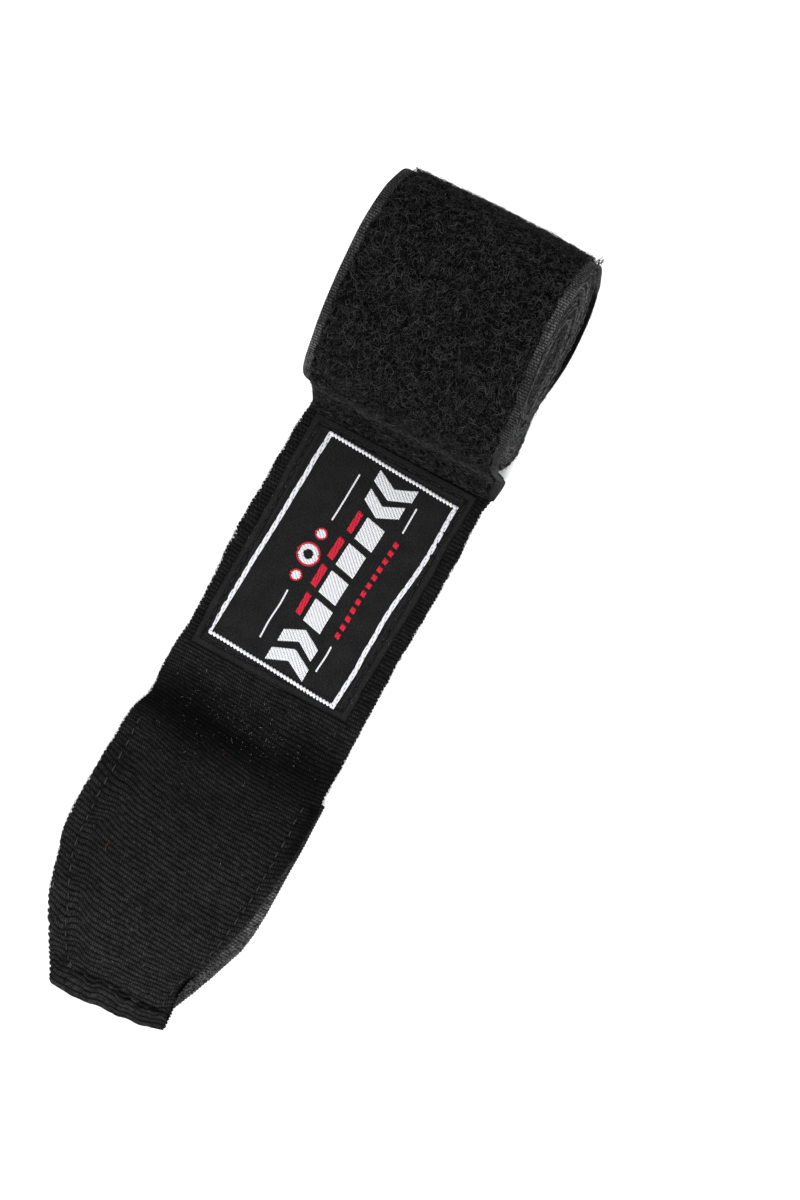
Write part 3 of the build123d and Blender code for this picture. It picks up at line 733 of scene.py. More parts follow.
def tongue(a0, a1, step, n_mid, amp=0.24):
    """Top and bottom grids of the webbing between two arc lengths."""
    m = int(round((a1 - a0) / step)) + 1
    a = np.linspace(a0, a1, m)
    x, z = np.interp(a, ROW_A, ROW_X), np.interp(a, ROW_A, ROW_Z)
    dx, dz = np.gradient(x, a), np.gradient(z, a)
    l = np.hypot(dx, dz)
    nx, nz = dz / l, -dx / l
    yl, yr = np.interp(x, _xl, _yl), np.interp(x, _xr, _yr)
    y, off = across(yr, yl, n_mid)
    X = np.repeat(x[:, None], y.shape[1], 1)
    # the last stretch leans so that its rows follow the slanted end
    xe = np.interp(y, _ye, _xe)
    lean = smooth(-139.0, -153.8, X)
    X = X + lean * (xe + 153.8)
    w = rib_warp(X, y)
    U = rib_count(a[:, None] + w, X)
    flap = smooth(-87.0, -89.0, X) * (1 - smooth(-98.0, -112.0, X)) * smooth(yr[:, None] + 3.0, yr[:, None] + 1.4, y)
    vary = 1.0 + 0.35 * vnoise(X / 3.0, y / 7.0, 22) - 0.45 * np.exp(-((X + 78.5) / 6.0) ** 2)
    r = rib_height(U)
    amp2 = amp * vary * (1 - 0.7 * flap)
    h = rise(X, y)
    h = h * smooth(0.0, -4.0, x)[:, None]
    edge = np.sqrt(np.clip(1 - (1 - np.clip(off / 0.34, 0, 1)) ** 2, 0, 1))
    t = BAND_T / 2
    up = (t - 0.14 + amp2 * r) * edge
    dn = -(t - 0.10 + 0.5 * amp * r) * edge
    scallop = (0.40 + 0.20 * vnoise(a[:, None] / 3.0, 7.0, 24)) * (np.abs(np.sin(np.pi * U)) - 0.62) * np.exp(-(off / 0.55) ** 2)
    side = np.where(np.arange(y.shape[1]) < y.shape[1] // 2, -1, 1)[None]
    rag = 0.14 * vnoise(a[:, None] / 2.2, 0.0, 21) + 0.10 * vnoise(a[:, None] / 0.8, 3.0, 21)
    Y = y + (scallop + rag * np.exp(-(off / 1.0) ** 2)) * side
    end = smooth(-152.2, -153.8, X)                              # ragged last threads
    X = X + 0.15 * vnoise(y / 1.1, 0.0, 23) * end
    top = np.stack([X + (up) * nx[:, None], Y, z[:, None] + h + up * nz[:, None]], -1)
    bot = np.stack([X + (dn) * nx[:, None], Y, z[:, None] + h + dn * nz[:, None]], -1)
    bot[..., 2] = np.maximum(bot[..., 2], 0.0)
    top[..., 2] = np.maximum(top[..., 2], bot[..., 2] + 0.02)
    return top, bot, np.stack([U, Y], -1), tongue_tone(X, y, r)


A_END = float(ROW_A[-1])
A_CUT = [0.0] + [float(np.interp(v, -FLAT_X, FLAT_A)) for v in (35.0, 78.0, 115.0)] + [A_END]
TONGUE = []
for i, (name, bodies, nodes, area) in enumerate((
        ("webbing_label_near", ("roll", "label_section"), ("label_webbing",), None),
        ("webbing_label_far", ("label_section", "tail"), ("label_webbing",), None),
        ("webbing_tail_upper", ("label_section", "tail"), ("tail_webbing",), None),
        ("webbing_tail_end", ("label_section", "tail"), ("tail_webbing",), 0.00162))):
    top, bot, uv, tone = tongue(A_CUT[i], A_CUT[i + 1] + (0.02 if i < 3 else 0.0), 0.15, 92)
    ob = slab(name, top, bot, WEB, uv, tone, skip=2)
    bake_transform(ob)
    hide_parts(*nodes)
    TONGUE.append(ob)


def surface_z(x, y):
    """Top of the tongue's webbing, for things that lie on it."""
    return lie(x) + rise(x, y) * smooth(0.0, -4.0, x) + 0.33


# ------------------------------------------------------------------ wound webbing
def wound():
    s0, s1 = 2.0 + LOOP_LEN + 1.2, TOTAL - 14.6
    s = [s0]
    while s[-1] < s1:                         # finer where the turns are tight
        f = (s[-1] - s0) / (s1 - s0)
        s.append(s[-1] + 0.36 + 0.44 * math.sqrt(f))
    s = np.array(s)
    s[-1] = s1
    x0, z0 = on_path(s, 0)
    nx, nz = on_path(s, 1.0)
    nx, nz = nx - x0, nz - z0
    turn = np.unwrap(np.arctan2(nz, nx)) / (2 * math.pi)
    layer = np.floor(turn).astype(int)
    # each turn's two edges stand in or out a little, and every rib ends in a soft nub
    rng = np.random.default_rng(5)
    jump = rng.normal(0, 0.30, 64)
    jump2 = rng.normal(0, 0.30, 64)
    f = turn - np.floor(turn)
    f = f * f * (3 - 2 * f)
    o1 = jump[layer % 64] * (1 - f) + jump[(layer + 1) % 64] * f
    o2 = jump2[layer % 64] * (1 - f) + jump2[(layer + 1) % 64] * f
    nub = 0.10 * np.sin(2 * math.pi * s / 1.1 + 2 * vnoise(s / 5.0, 1.0, 30)) + 0.13 * vnoise(s / 1.7, 0.0, 31) + 0.22 * vnoise(s / 9.0, 3.0, 32)
    last = smooth(TOTAL - 190, TOTAL - 120, s)
    outer = s > TOTAL - 300
    yr = -HALF - o1 * 0.9 - nub + 0.15
    yl = HALF + o2 * 0.9 + nub - 0.15
    # the last full turn stands proud along the roll's far side and underneath, at the right edge
    phi = np.degrees((turn - np.floor(turn)) * 2 * math.pi)
    proud = smooth(PANEL_S0 - 46, PANEL_S0 - 14, s) * (1 - smooth(PANEL_S0 + 1, PANEL_S0 + 9, s))
    yr = yr * (1 - proud) + proud * (-HALF - 1.15 - 0.12 * vnoise(s / 6.0, 5.0, 34))
    shade = np.ones(len(s)) * (1 + 0.55 * vnoise(s / 1.2, 5.0, 35) + 0.35 * vnoise(s / 14.0, 9.0, 35))
    # per-turn lightness: some turns' edges painted lighter as a painted highlight where they catch the light, other
    # turns randomly darker
    turn_glint_tone = rng.choice([0.55, 0.8, 1.0, 1.7], 64, p=[0.25, 0.3, 0.25, 0.2])
    shade = shade * (turn_glint_tone[layer % 64] * (1 - f) + turn_glint_tone[(layer + 1) % 64] * f)
    # the proud turn's rim painted dark: painted shade along the roll's far side and underneath
    shade = shade * (1 - 0.85 * proud)
    # cross-section: rounded edge lips a little thicker than the middle, so turns meet and leave dark grooves
    prof = [(0.00, 0.35), (0.04, 0.80), (0.16, 1.08), (0.45, 1.12), (1.0, 1.0), (3.0, 0.95)]
    t = BAND_T / 2 * (1.0 + 0.08 * vnoise(s / 1.1, 7.0, 33))
    ring = []
    for off, k in prof:
        ring.append((yr + off, t * k))
    for off, k in prof[::-1]:
        ring.append((yl - off, t * k))
    for off, k in prof:
        ring.append((yl - off, -t * k))
    for off, k in prof[::-1]:
        ring.append((yr + off, -t * k))
    n = len(ring)
    V = np.zeros((len(s), n, 3))
    uv = np.zeros((len(s), n, 2))
    belly = smooth(PANEL_S0 - 12, PANEL_S0 + 2, s) * (1 - smooth(PANEL_S0 + 8, PANEL_S0 + 45, s))
    for j, (y, d) in enumerate(ring):
        d = d + np.where(np.abs(y) < 25, 1.0 * (1 - (y / 26.0) ** 2), 0.0) * belly * (0 if abs(j % 12 - 5.5) > 4 else 1)
        V[:, j, 0] = x0 + d * nx
        V[:, j, 1] = y
        V[:, j, 2] = z0 + d * nz
        uv[:, j, 0] = s
        uv[:, j, 1] = y + d * 1.5
    i, j = np.meshgrid(np.arange(len(s) - 1), np.arange(n), indexing="ij")
    a, b = i * n + j, i * n + (j + 1) % n
    quads = np.stack([a, b, b + n, a + n], -1).reshape(-1, 4)
    caps = [np.arange(n)[::-1][None], ((len(s) - 1) * n + np.arange(n))[None]]
    V[..., 2] = np.maximum(V[..., 2], 0.0)
    # painted shade: each turn's edge light, darkening down into the groove between turns
    ringtone = np.array([{0.00: 1.0, 0.04: 0.9, 0.16: 0.55, 0.45: 0.25}.get(o, 0.8) for o, _ in prof + prof[::-1] + prof + prof[::-1]])
    tone = shade[:, None] * ringtone[None]
    inner = np.array([o > 0.9 for o, _ in prof + prof[::-1] + prof + prof[::-1]])
    tone = np.where(inner[None] & (s > TOTAL - 330)[:, None], tone * 0.30, tone)
    ob = make("wound_webbing_turns", V.reshape(-1, 3), [quads] + caps, WEB_ROLL, uv.reshape(-1, 2), tone)
    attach(ob, "roll")
    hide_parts("wound_webbing")
    return ob, s, x0, z0, nx, nz, yr, yl, t


ROLL, W_S, W_X, W_Z, W_NX, W_NZ, W_YR, W_YL, W_T = wound()

# ------------------------------------------------------------------ thumb loop in the core
def thumb():
    s = np.arange(2.0, 2.0 + LOOP_LEN, 0.25)
    x0, z0 = on_path(s, 0)
    nx, nz = on_path(s, 1.0)
    nx, nz = nx - x0, nz - z0
    d_out, d_in = 0.30, -0.30
    # closed band: out along one layer, round the inner fold, back along the other
    ly = np.concatenate([np.full(len(s), d_out), np.full(len(s), d_in)])
    idx = np.concatenate([np.arange(len(s))[::-1], np.arange(len(s))])
    w = 8.0
    V, uv = [], []
    cols = [(-w, 0.0), (-w + 0.25, 0.20), (-w + 1.0, 0.22), (w - 1.0, 0.22), (w - 0.25, 0.20), (w, 0.0),
            (w - 0.25, -0.20), (w - 1.0, -0.22), (-w + 1.0, -0.22), (-w + 0.25, -0.20)]
    side = np.where(np.arange(len(idx)) < len(s), 1.0, -1.0)
    for (y, d) in cols:
        dd = ly + d * side
        V.append(np.stack([x0[idx] + dd * nx[idx], np.full(len(idx), y) + 0.06 * np.sin(2 * np.pi * s[idx]), z0[idx] + dd * nz[idx]], -1))
        uv.append(np.stack([s[idx] * 1.2, np.full(len(idx), y)], -1))
    V, uv = np.stack(V, 1), np.stack(uv, 1)
    n = len(cols)
    i, j = np.meshgrid(np.arange(len(idx) - 1), np.arange(n), indexing="ij")
    a, b = i * n + j, i * n + (j + 1) % n
    quads = np.stack([a, b, b + n, a + n], -1).reshape(-1, 4)
    caps = [np.arange(n)[::-1][None], ((len(idx) - 1) * n + np.arange(n))[None]]
    ob = make("thumb_loop_tape", V.reshape(-1, 3), [quads] + caps, TAPE, uv.reshape(-1, 2), np.ones(V.shape[:2]))
    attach(ob, "roll")
    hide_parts("thumb_loop")


thumb()

# ------------------------------------------------------------------ loop panel
BASE = BAND_T / 2 + 0.04
FOOT_S = TOTAL - 6.2                       # middle of the bend where the strip meets the table


def crown(s, y):
    """The outermost turn bellies out a little midway between its edges, most on the far side."""
    return 1.0 * (1 - (np.asarray(y) / 26.0) ** 2) * (1 - smooth(PANEL_S0 + 8, PANEL_S0 + 45, s))


S_BEND = FOOT_S - 9.5                      # from here on the stiff panel cuts the corner instead of following the webbing


def _corner():
    """Bezier control points of the panel's own line through the bend at the foot."""
    def ends(q):
        x, z = on_path(np.array([q - 0.05, q + 0.05]), BASE)
        return np.array([x.mean(), z.mean()]), np.array([x[1] - x[0], z[1] - z[0]]) / math.hypot(x[1] - x[0], z[1] - z[0])
    p0, t0 = ends(S_BEND)
    p1, t1 = ends(TOTAL - 0.1)
    a, b = np.linalg.solve(np.array([t0, t1]).T, p1 - p0)      # p0 + a t0 = p1 - b t1
    return p0, p0 + t0 * a * 0.52, p1 - t1 * b * 0.52, p1


BEND = _corner()


def on_panel(s, d):
    """Like on_path, for things carried by the loop panel."""
    s = np.asarray(s, float)
    x, z = on_path(s, d)
    u = np.clip((s - S_BEND) / (TOTAL - 0.1 - S_BEND), 0, 1)
    a, b, c, e = BEND
    px, pz = ((1 - u) ** 3 * a[k] + 3 * u * (1 - u) ** 2 * b[k] + 3 * u * u * (1 - u) * c[k] + u ** 3 * e[k] for k in (0, 1))
    tx, tz = ((1 - u) ** 2 * (b[k] - a[k]) + 2 * u * (1 - u) * (c[k] - b[k]) + u * u * (e[k] - c[k]) for k in (0, 1))
    l = np.hypot(tx, tz)
    inside = s > S_BEND
    return (np.where(inside, px + (d - BASE) * tz / l, x), np.where(inside, pz - (d - BASE) * tx / l, z))


def panel_grid(s, y, d, line=None):
    """Points on the loop panel: s along, y across, d above the webbing's outer face."""
    x, z = (line or on_panel)(s, BASE + d + crown(s, y))
    return np.stack([x, np.broadcast_to(y, x.shape), z], -1)


def pile_half(s, left=1):
    """Half width of the pile; on the left it spreads over the margin where the panel turns onto the table."""
    spread = 0.6 * (np.asarray(left) > 0) - 0.3 * (np.asarray(left) <= 0)
    return PANEL_HALF - SELVEDGE + 0.7 + spread * smooth(FOOT_S - 7, FOOT_S + 1, s) - 0.5 * smooth(PANEL_S0 + 55, PANEL_S0 + 30, s)


def foot_fill(s):
    """The pile bunches up and fills the bend at the foot."""
    return 0.25 * np.exp(-((s - FOOT_S) / 3.2) ** 2)


def panel_ground():
    step = 0.14
    s = np.arange(PANEL_S0, PANEL_S1 - 0.25, step)
    m = len(s)
    yr = np.full(m, -PANEL_HALF) - 0.16 * vnoise(s / 6.0, 0.0, 41)
    yl = np.full(m, PANEL_HALF) + 0.12 * vnoise(s / 6.0, 9.0, 41)
    tuck = 0.9 * smooth(TOTAL - 9, TOTAL - 3, s)
    yr, yl = yr + 0.3 * tuck, yl - tuck
    y, off = across(yr, yl, 4)
    S = np.repeat(s[:, None], y.shape[1], 1)
    w = 0.12 * vnoise(S / 7.0, y / 3.0, 42) + 0.05 * vnoise(S / 1.5, y / 1.0, 44)
    U = (S + w) / 0.72
    r = rib_height(U, 0.8)
    edge = np.sqrt(np.clip(1 - (1 - np.clip(off / 0.28, 0, 1)) ** 2, 0, 1))
    rope = 0.10 * np.exp(-((off - 0.28) / 0.22) ** 2)          # corded outer edge
    thick = 0.52
    wave = 0.06 * vnoise(S / 5.0, y / 4.0, 43)
    up = thick / 2 + (thick / 2 - 0.08 + 0.17 * r + rope) * edge + wave * edge
    dn = thick / 2 - (thick / 2 - 0.02) * edge
    side = np.where(np.arange(y.shape[1]) < y.shape[1] // 2, -1, 1)[None]
    Y = y + 0.10 * (r - 0.5) * np.exp(-(off / 0.35) ** 2) * side
    top, bot = panel_grid(S, Y, up), panel_grid(S, Y, dn, on_path)
    # ridges lighter and grooves darker: painted shade; also darker inward from the edge and towards the foot
    tone = (0.10 + 0.90 * smooth(0.35, 0.95, r)) * (1 + 0.35 * vnoise(S / 1.5, y / 0.8, 45)) * (1 - 0.45 * smooth(1.6, 2.9, off))
    tone = tone * (1 - 0.55 * smooth(TOTAL - 22, TOTAL - 4, S)) * (0.85 + 0.35 * vnoise(S / 16.0, np.sign(Y), 46))
    return slab("loop_panel_ground", top, bot, SELV, np.stack([U, Y], -1), tone)


def panel_bed():
    s = np.arange(PANEL_S0 + 0.9, PANEL_S1 + 0.8, 0.30)
    b = np.linspace(-1, 1, 165)
    S, B = np.meshgrid(s, b, indexing="ij")
    h = pile_half(S, B)
    Y = B * (h + 0.40 * vnoise(S / 1.3, np.sign(B) * 3.0, 51) * smooth(0.93, 1.0, np.abs(B)))
    edge = np.minimum(np.minimum(h - np.abs(B) * h, S - s[0]), s[-1] - S)
    f = np.sqrt(np.clip(1 - (1 - np.clip(edge / 1.2, 0, 1)) ** 2, 0, 1))
    lump = 0.16 * vnoise(S / 1.0, Y / 1.0, 52) + 0.16 * vnoise(S / 0.5, Y / 0.5, 53) + 0.08 * vnoise(S / 5.0, Y / 5.0, 54)
    up = 0.42 + f * (0.66 + lump + foot_fill(S))
    top = panel_grid(S, Y, up)
    bot = panel_grid(S, Y, np.full_like(up, 0.30), on_path)
    # bed lighter on its lumps and darker in its hollows: painted shade
    return slab("loop_pile_bed", top, bot, PILE_BED, None, np.clip(0.8 + 2.0 * lump, 0.1, 2), skip=4)


def pile_points(n, rng, kind):
    """Fibre centre lines in panel coordinates (along, across, above), n x K x 3, and each fibre's tone."""
    s = rng.uniform(PANEL_S0 + 1.0, PANEL_S1 + 0.8, n)
    b = rng.uniform(-1, 1, n)
    h = pile_half(s, b)
    y = b * (h + 0.15)
    k = 8
    t = np.linspace(0, 1, k)[None]
    a0 = rng.uniform(0, 2 * math.pi, n)[:, None]
    clump = vnoise(s / 1.1, y / 1.1, 55)[:, None]
    if kind == "loop":       # curls lying in the top of the pile
        rad = rng.uniform(0.22, 0.75, n)[:, None]
        sweep = rng.uniform(1.4, 4.4, n)[:, None] * rng.choice([-1, 1], n)[:, None]
        ang = a0 + sweep * t
        grow = 1 + rng.normal(0, 0.45, n)[:, None] * (t - 0.5)
        px = rad * grow * (np.cos(ang) - np.cos(a0 + sweep / 2))
        py = rad * grow * (np.sin(ang) - np.sin(a0 + sweep / 2)) * rng.uniform(0.55, 1.0, n)[:, None]
        top = 1.40 + 0.13 * clump + rng.normal(0, 0.20, n)[:, None]
        pz = top - 0.50 * (2 * t - 1) ** 2 * rng.uniform(0.2, 1.3, n)[:, None]
    else:                    # longer wandering fibres on top
        l = rng.uniform(1.2, 3.9, n)[:, None]
        bend = rng.normal(0, 1.2, n)[:, None]
        bend2 = rng.normal(0, 1.3, n)[:, None]
        ang = a0 + bend * t + bend2 * np.sin(t * math.pi * 2) * 0.5
        step = l / (k - 1)
        px = np.cumsum(np.cos(ang) * step, 1) - l / 2 * np.cos(a0)
        py = np.cumsum(np.sin(ang) * step, 1) - l / 2 * np.sin(a0)
        pz = 1.68 + 0.10 * clump + rng.normal(0, 0.14, n)[:, None] - 0.5 * (2 * t - 1) ** 2 * rng.uniform(0.3, 1.2, n)[:, None]
    S = np.clip(s[:, None] + px, PANEL_S0 + 0.3, PANEL_S1 + 1.05)
    lim = h[:, None] + 0.6 - 0.45 * smooth(FOOT_S - 9, FOOT_S - 5, s)[:, None]
    Y = np.clip(y[:, None] + py, -lim, lim)
    pz = pz + foot_fill(S)
    # fibres lower in the pile darker, higher ones lighter: painted shade
    pile_depth_shade = np.clip(0.95 + 0.20 * clump[:, 0] + 1.1 * (pz.max(1) - foot_fill(s) - 1.45), 0.12, 2)
    tone = pile_depth_shade * rng.choice([0.15, 0.45, 0.95, 1.6], n, p=[0.30, 0.30, 0.26, 0.14]) * rng.uniform(0.8, 1.2, n)
    if kind == "long":
        tone = rng.choice([0.45, 0.9, 2.1], n, p=[0.5, 0.33, 0.17]) * np.clip(pile_depth_shade, 0.6, 1.3)
    return S, Y, pz, tone


def pile():
    made = []
    rng = np.random.default_rng(11)
    for i, (kind, n, r0, r1) in enumerate((("loop", 4500, 0.034, 0.060), ("loop", 4500, 0.034, 0.060), ("loop", 4500, 0.034, 0.060), ("loop", 4500, 0.034, 0.060),
                                          ("loop", 4500, 0.034, 0.060), ("loop", 4500, 0.034, 0.060), ("long", 4200, 0.028, 0.052))):
        S, Y, D, tone = pile_points(n, rng, kind)
        p = panel_grid(S, Y, D)
        rad = rng.uniform(r0, r1, n)[:, None] * np.array([0.55, 0.9, 1, 1, 1, 1, 0.9, 0.5])[None]
        v, f = tubes(p, rad)
        ob = make(f"loop_pile_fibres_{i + 1}", v, f, PILE, None, np.repeat(tone, 24))
        made.append(ob)
    return made


ground, bed, fibres = panel_ground(), panel_bed(), pile()
for o in [ground, bed] + fibres:
    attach(o, "roll")
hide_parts("loop_panel")


# ------------------------------------------------------------------ stitches
def stitch_mesh(ends, radius, sink=0.12, lift=0.10, sides=6, k=7, up=None, twist=0.0):
    """Thread stitches: ends is N x 2 x 3 (where each stitch enters and leaves the cloth), each an arch that dives in at both ends."""
    e = np.asarray(ends, float)
    t = np.linspace(0, 1, k)
    p = e[:, :1] * (1 - t)[None, :, None] + e[:, 1:] * t[None, :, None]
    n = np.array([0, 0, 1.0]) if up is None else up[:, None, :]
    bow = (lift + sink) * (1 - (2 * t - 1) ** 4) - sink
    p = p + n * bow[None, :, None]
    r = radius * (0.65 + 0.35 * (1 - (2 * t - 1) ** 6))
    return tubes(p, np.broadcast_to(r[None], p.shape[:2]), sides=sides)


def along(line, length, gap, jitter=0.0, seed=0, start=0.0):
    """Stitch end points along a polyline of (x, y)."""
    line = np.asarray(line, float)
    d = np.hypot(*np.diff(line, axis=0).T)
    c = np.concatenate([[0], np.cumsum(d)])
    rng = np.random.default_rng(100 + seed)
    out, a = [], start
    while a + length < c[-1]:
        l = length * (1 + jitter * rng.uniform(-1, 1))
        pts = []
        for q in (a, min(a + l, c[-1])):
            pts.append((np.interp(q, c, line[:, 0]) + jitter * 0.35 * rng.normal(), np.interp(q, c, line[:, 1]) + jitter * 0.5 * rng.normal()))
        out.append(pts)
        a += l + gap
    return np.array(out)


def place(ends2, zfun, dz=0.0):
    x, y = ends2[..., 0], ends2[..., 1]
    return np.stack([x, y, zfun(x, y) + dz], -1)


# loop panel seams: a row along each selvedge
def panel_stitches():
    ends, ups = [], []
    for side in (-1, 1):
        rng = np.random.default_rng(61 + side)
        a = PANEL_S0 + 4.0
        while a < PANEL_S1 - 8.0:
            y = side * (PANEL_HALF - 0.95) + rng.normal(0, 0.05)
            s2 = np.array([a, a + 2.5])
            x, z = on_panel(s2, BASE + 0.52 + 0.03)
            nx, nz = on_panel(s2.mean(), 1.0)
            mx, mz = on_panel(s2.mean(), 0.0)
            ends.append(np.stack([x, [y, y + rng.normal(0, 0.06)], z], 1))
            ups.append([nx - mx, 0, nz - mz])
            a += 3.1 + rng.normal(0, 0.12)
    v, f = stitch_mesh(np.array(ends), 0.15, up=np.array(ups))
    ob = make("loop_panel_stitches", v, f, THREAD)
    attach(ob, "roll")
    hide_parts("loop_panel_stitching")
    return ob


panel_stitches()

# ------------------------------------------------------------------ woven label
CORNERS = dict(fl=(-66.3, -20.7), fu=(-66.4, 21.3), nl=(-2.0, -21.4), nu=(-1.5, 23.2))
FRAME = dict(fl=(-64.5, -16.4), fu=(-62.2, 18.3), nl=(-6.9, -18.0), nu=(-4.6, 17.6))
FW, FH = 57.5, 35.5


def quad(c, a, b):
    """a runs from the tail's side to the roll's, b from the right edge to the left."""
    x = (1 - a) * (1 - b) * c["fl"][0] + (1 - a) * b * c["fu"][0] + a * (1 - b) * c["nl"][0] + a * b * c["nu"][0]
    y = (1 - a) * (1 - b) * c["fl"][1] + (1 - a) * b * c["fu"][1] + a * (1 - b) * c["nl"][1] + a * b * c["nu"][1]
    return x, y


LW, LH = 64.6, 43.4
LIFT = 0.04


def label_rise(a, b):
    """Thickness of the label over the webbing: the turned-in border is two layers."""
    e = np.minimum(np.minimum(a, 1 - a) * LW, np.minimum(b, 1 - b) * LH)
    x, y = quad(CORNERS, a, b)
    t = 0.30 + 0.24 * (1 - smooth(2.7, 3.5, e))
    t = t - 0.26 * np.exp(-((e - 2.0) / 0.42) ** 2) * (0.8 + 0.2 * vnoise(x / 1.5, y / 1.5, 71))
    t = t + 0.05 * vnoise(x / 2.4, y / 2.4, 72) * np.exp(-((e - 1.6) / 2.0) ** 2) + 0.035 * vnoise(x / 7.0, y / 5.0, 73)
    round_ = np.sqrt(np.clip(1 - (1 - np.clip(e / 0.30, 0, 1)) ** 2, 0, 1))
    return LIFT + t * round_


def label_z(x, y):
    """Top of the label at a plan point inside it."""
    a = (x - CORNERS["fl"][0]) / LW
    b = (y - CORNERS["fl"][1]) / LH
    return surface_z(x, y) + label_rise(np.clip(a, 0, 1), np.clip(b, 0, 1))


def label():
    e = np.array([0, .04, .10, .18, .30, .5, .8, 1.15, 1.45, 1.7, 1.85, 2.0, 2.15, 2.3, 2.6, 2.9, 3.2, 3.5, 3.9])

    def spread(length):
        mid = np.linspace(3.9, length - 3.9, int((length - 7.8) / 0.36) + 1)[1:-1]
        return np.concatenate([e, mid, (length - e)[::-1]]) / length

    a, b = np.meshgrid(spread(LW)[::-1], spread(LH), indexing="ij")
    x, y = quad(CORNERS, a, b)
    wav = (0.26 * vnoise(x / 8.0, 2.0, 74) + 0.10 * vnoise(x / 2.5, 3.0, 74)) * (np.exp(-b * LH / 2.0) + np.exp(-(1 - b) * LH / 2.0))
    y = y + wav
    top = np.stack([x, y, surface_z(x, y) + label_rise(a, b)], -1)
    bot = np.stack([x, y, surface_z(x, y) - 0.04], -1)
    e = np.minimum(np.minimum(a, 1 - a) * LW, np.minimum(b, 1 - b) * LH)
    # painted shade in the stitched groove, at the outer edge and at the step where the turned-in border ends; painted
    # highlight on the puffed border and the step's top
    tone = 1 - 0.75 * np.exp(-((e - 2.0) / 0.34) ** 2) - 0.6 * np.exp(-(e / 0.22) ** 2) + 0.25 * np.exp(-((e - 0.8) / 0.5) ** 2)
    tone = tone + 0.25 * np.exp(-((e - 2.8) / 0.4) ** 2) - 0.45 * np.exp(-((e - 3.35) / 0.28) ** 2) * (0.6 + 0.4 * vnoise(x / 2.0, y / 2.0, 76))
    ob = slab("label_cloth", top, bot, SATIN, np.stack([x, y], -1), tone)
    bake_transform(ob)
    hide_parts("woven_label")
    return ob


LABEL = label()


def on_frame(p, q):
    x, y = quad(FRAME, p / FW, q / FH)
    far = q / FH
    # the woven frame isn't quite straight where the cloth is drawn in by its stitching
    y = y + (1 - far) * (0.50 * np.exp(-((p - 24.0) / 9.0) ** 2) - 0.35 * np.exp(-((p - 42.0) / 8.0) ** 2)) + 0.12 * vnoise(p / 5.0, q / 12.0, 77)
    return x + 0.10 * vnoise(p / 14.0, q / 5.0, 78), y


def floats(poly, pitch=0.36, length=0.95, shift=0.31, rows=None, holes=()):
    """Weft floats that fill a polygon in label coordinates: (p0, q, p1) each."""
    rings = [np.asarray(poly, float)] + [np.asarray(h, float) for h in holes]
    q0 = min(r[:, 1].min() for r in rings)
    q1 = max(r[:, 1].max() for r in rings)
    out = []
    k0 = int(math.floor(q0 / pitch))
    for k in range(k0, int(math.ceil(q1 / pitch)) + 1):
        q = (k + 0.5) * pitch
        cross = []
        for r in rings:
            for (ax, ay), (bx, by) in zip(r, np.roll(r, -1, axis=0)):
                if (ay <= q) != (by <= q):
                    cross.append(ax + (q - ay) * (bx - ax) / (by - ay))
        cross.sort()
        for a, b in zip(cross[::2], cross[1::2]):
            off = (k * shift) % length
            c = math.floor((a - off) / length) * length + off
            cuts = [a] + [c + i * length for i in range(1, 400) if a + 0.18 < c + i * length < b - 0.18] + [b]
            out += [(u, q, v) for u, v in zip(cuts[:-1], cuts[1:]) if v - u > 0.12]
    return out


def weave(name, runs, mat, width=0.205, high=0.42, over=0.05):
    """Floats as flattened threads that dive at both ends."""
    r = np.array(runs)
    k = 5
    t = np.linspace(0, 1, k)[None]
    p = r[:, :1] * (1 - t) + r[:, 2:3] * t
    q = np.repeat(r[:, 1:2], k, 1)
    x, y = on_frame(p, q)
    z = label_z(x, y) + over + 0.03 - 0.12 * (2 * t - 1) ** 4
    pts = np.stack([x, y, z], -1)
    rad = np.full(pts.shape[:2], width) * (1 - 0.34 * (2 * t - 1) ** 4)
    v, f = tubes(pts, rad, sides=6, flat=high)
    ob = make(name, v, f, mat)
    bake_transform(ob)
    return ob


def box(p0, q0, p1, q1, lean=0.0):
    return [(p0, q0), (p1, q0), (p1 + lean, q1), (p0 + lean, q1)]


def chevron(p, q0, q1, w, d):
    m = (q0 + q1) / 2
    return [(p, q0), (p + w, q0), (p + w + d, m), (p + w, q1), (p, q1), (p + d, m)]


def circle(p, q, r, n=28):
    return [(p + r * math.cos(i * 2 * math.pi / n), q + r * math.sin(i * 2 * math.pi / n)) for i in range(n)]


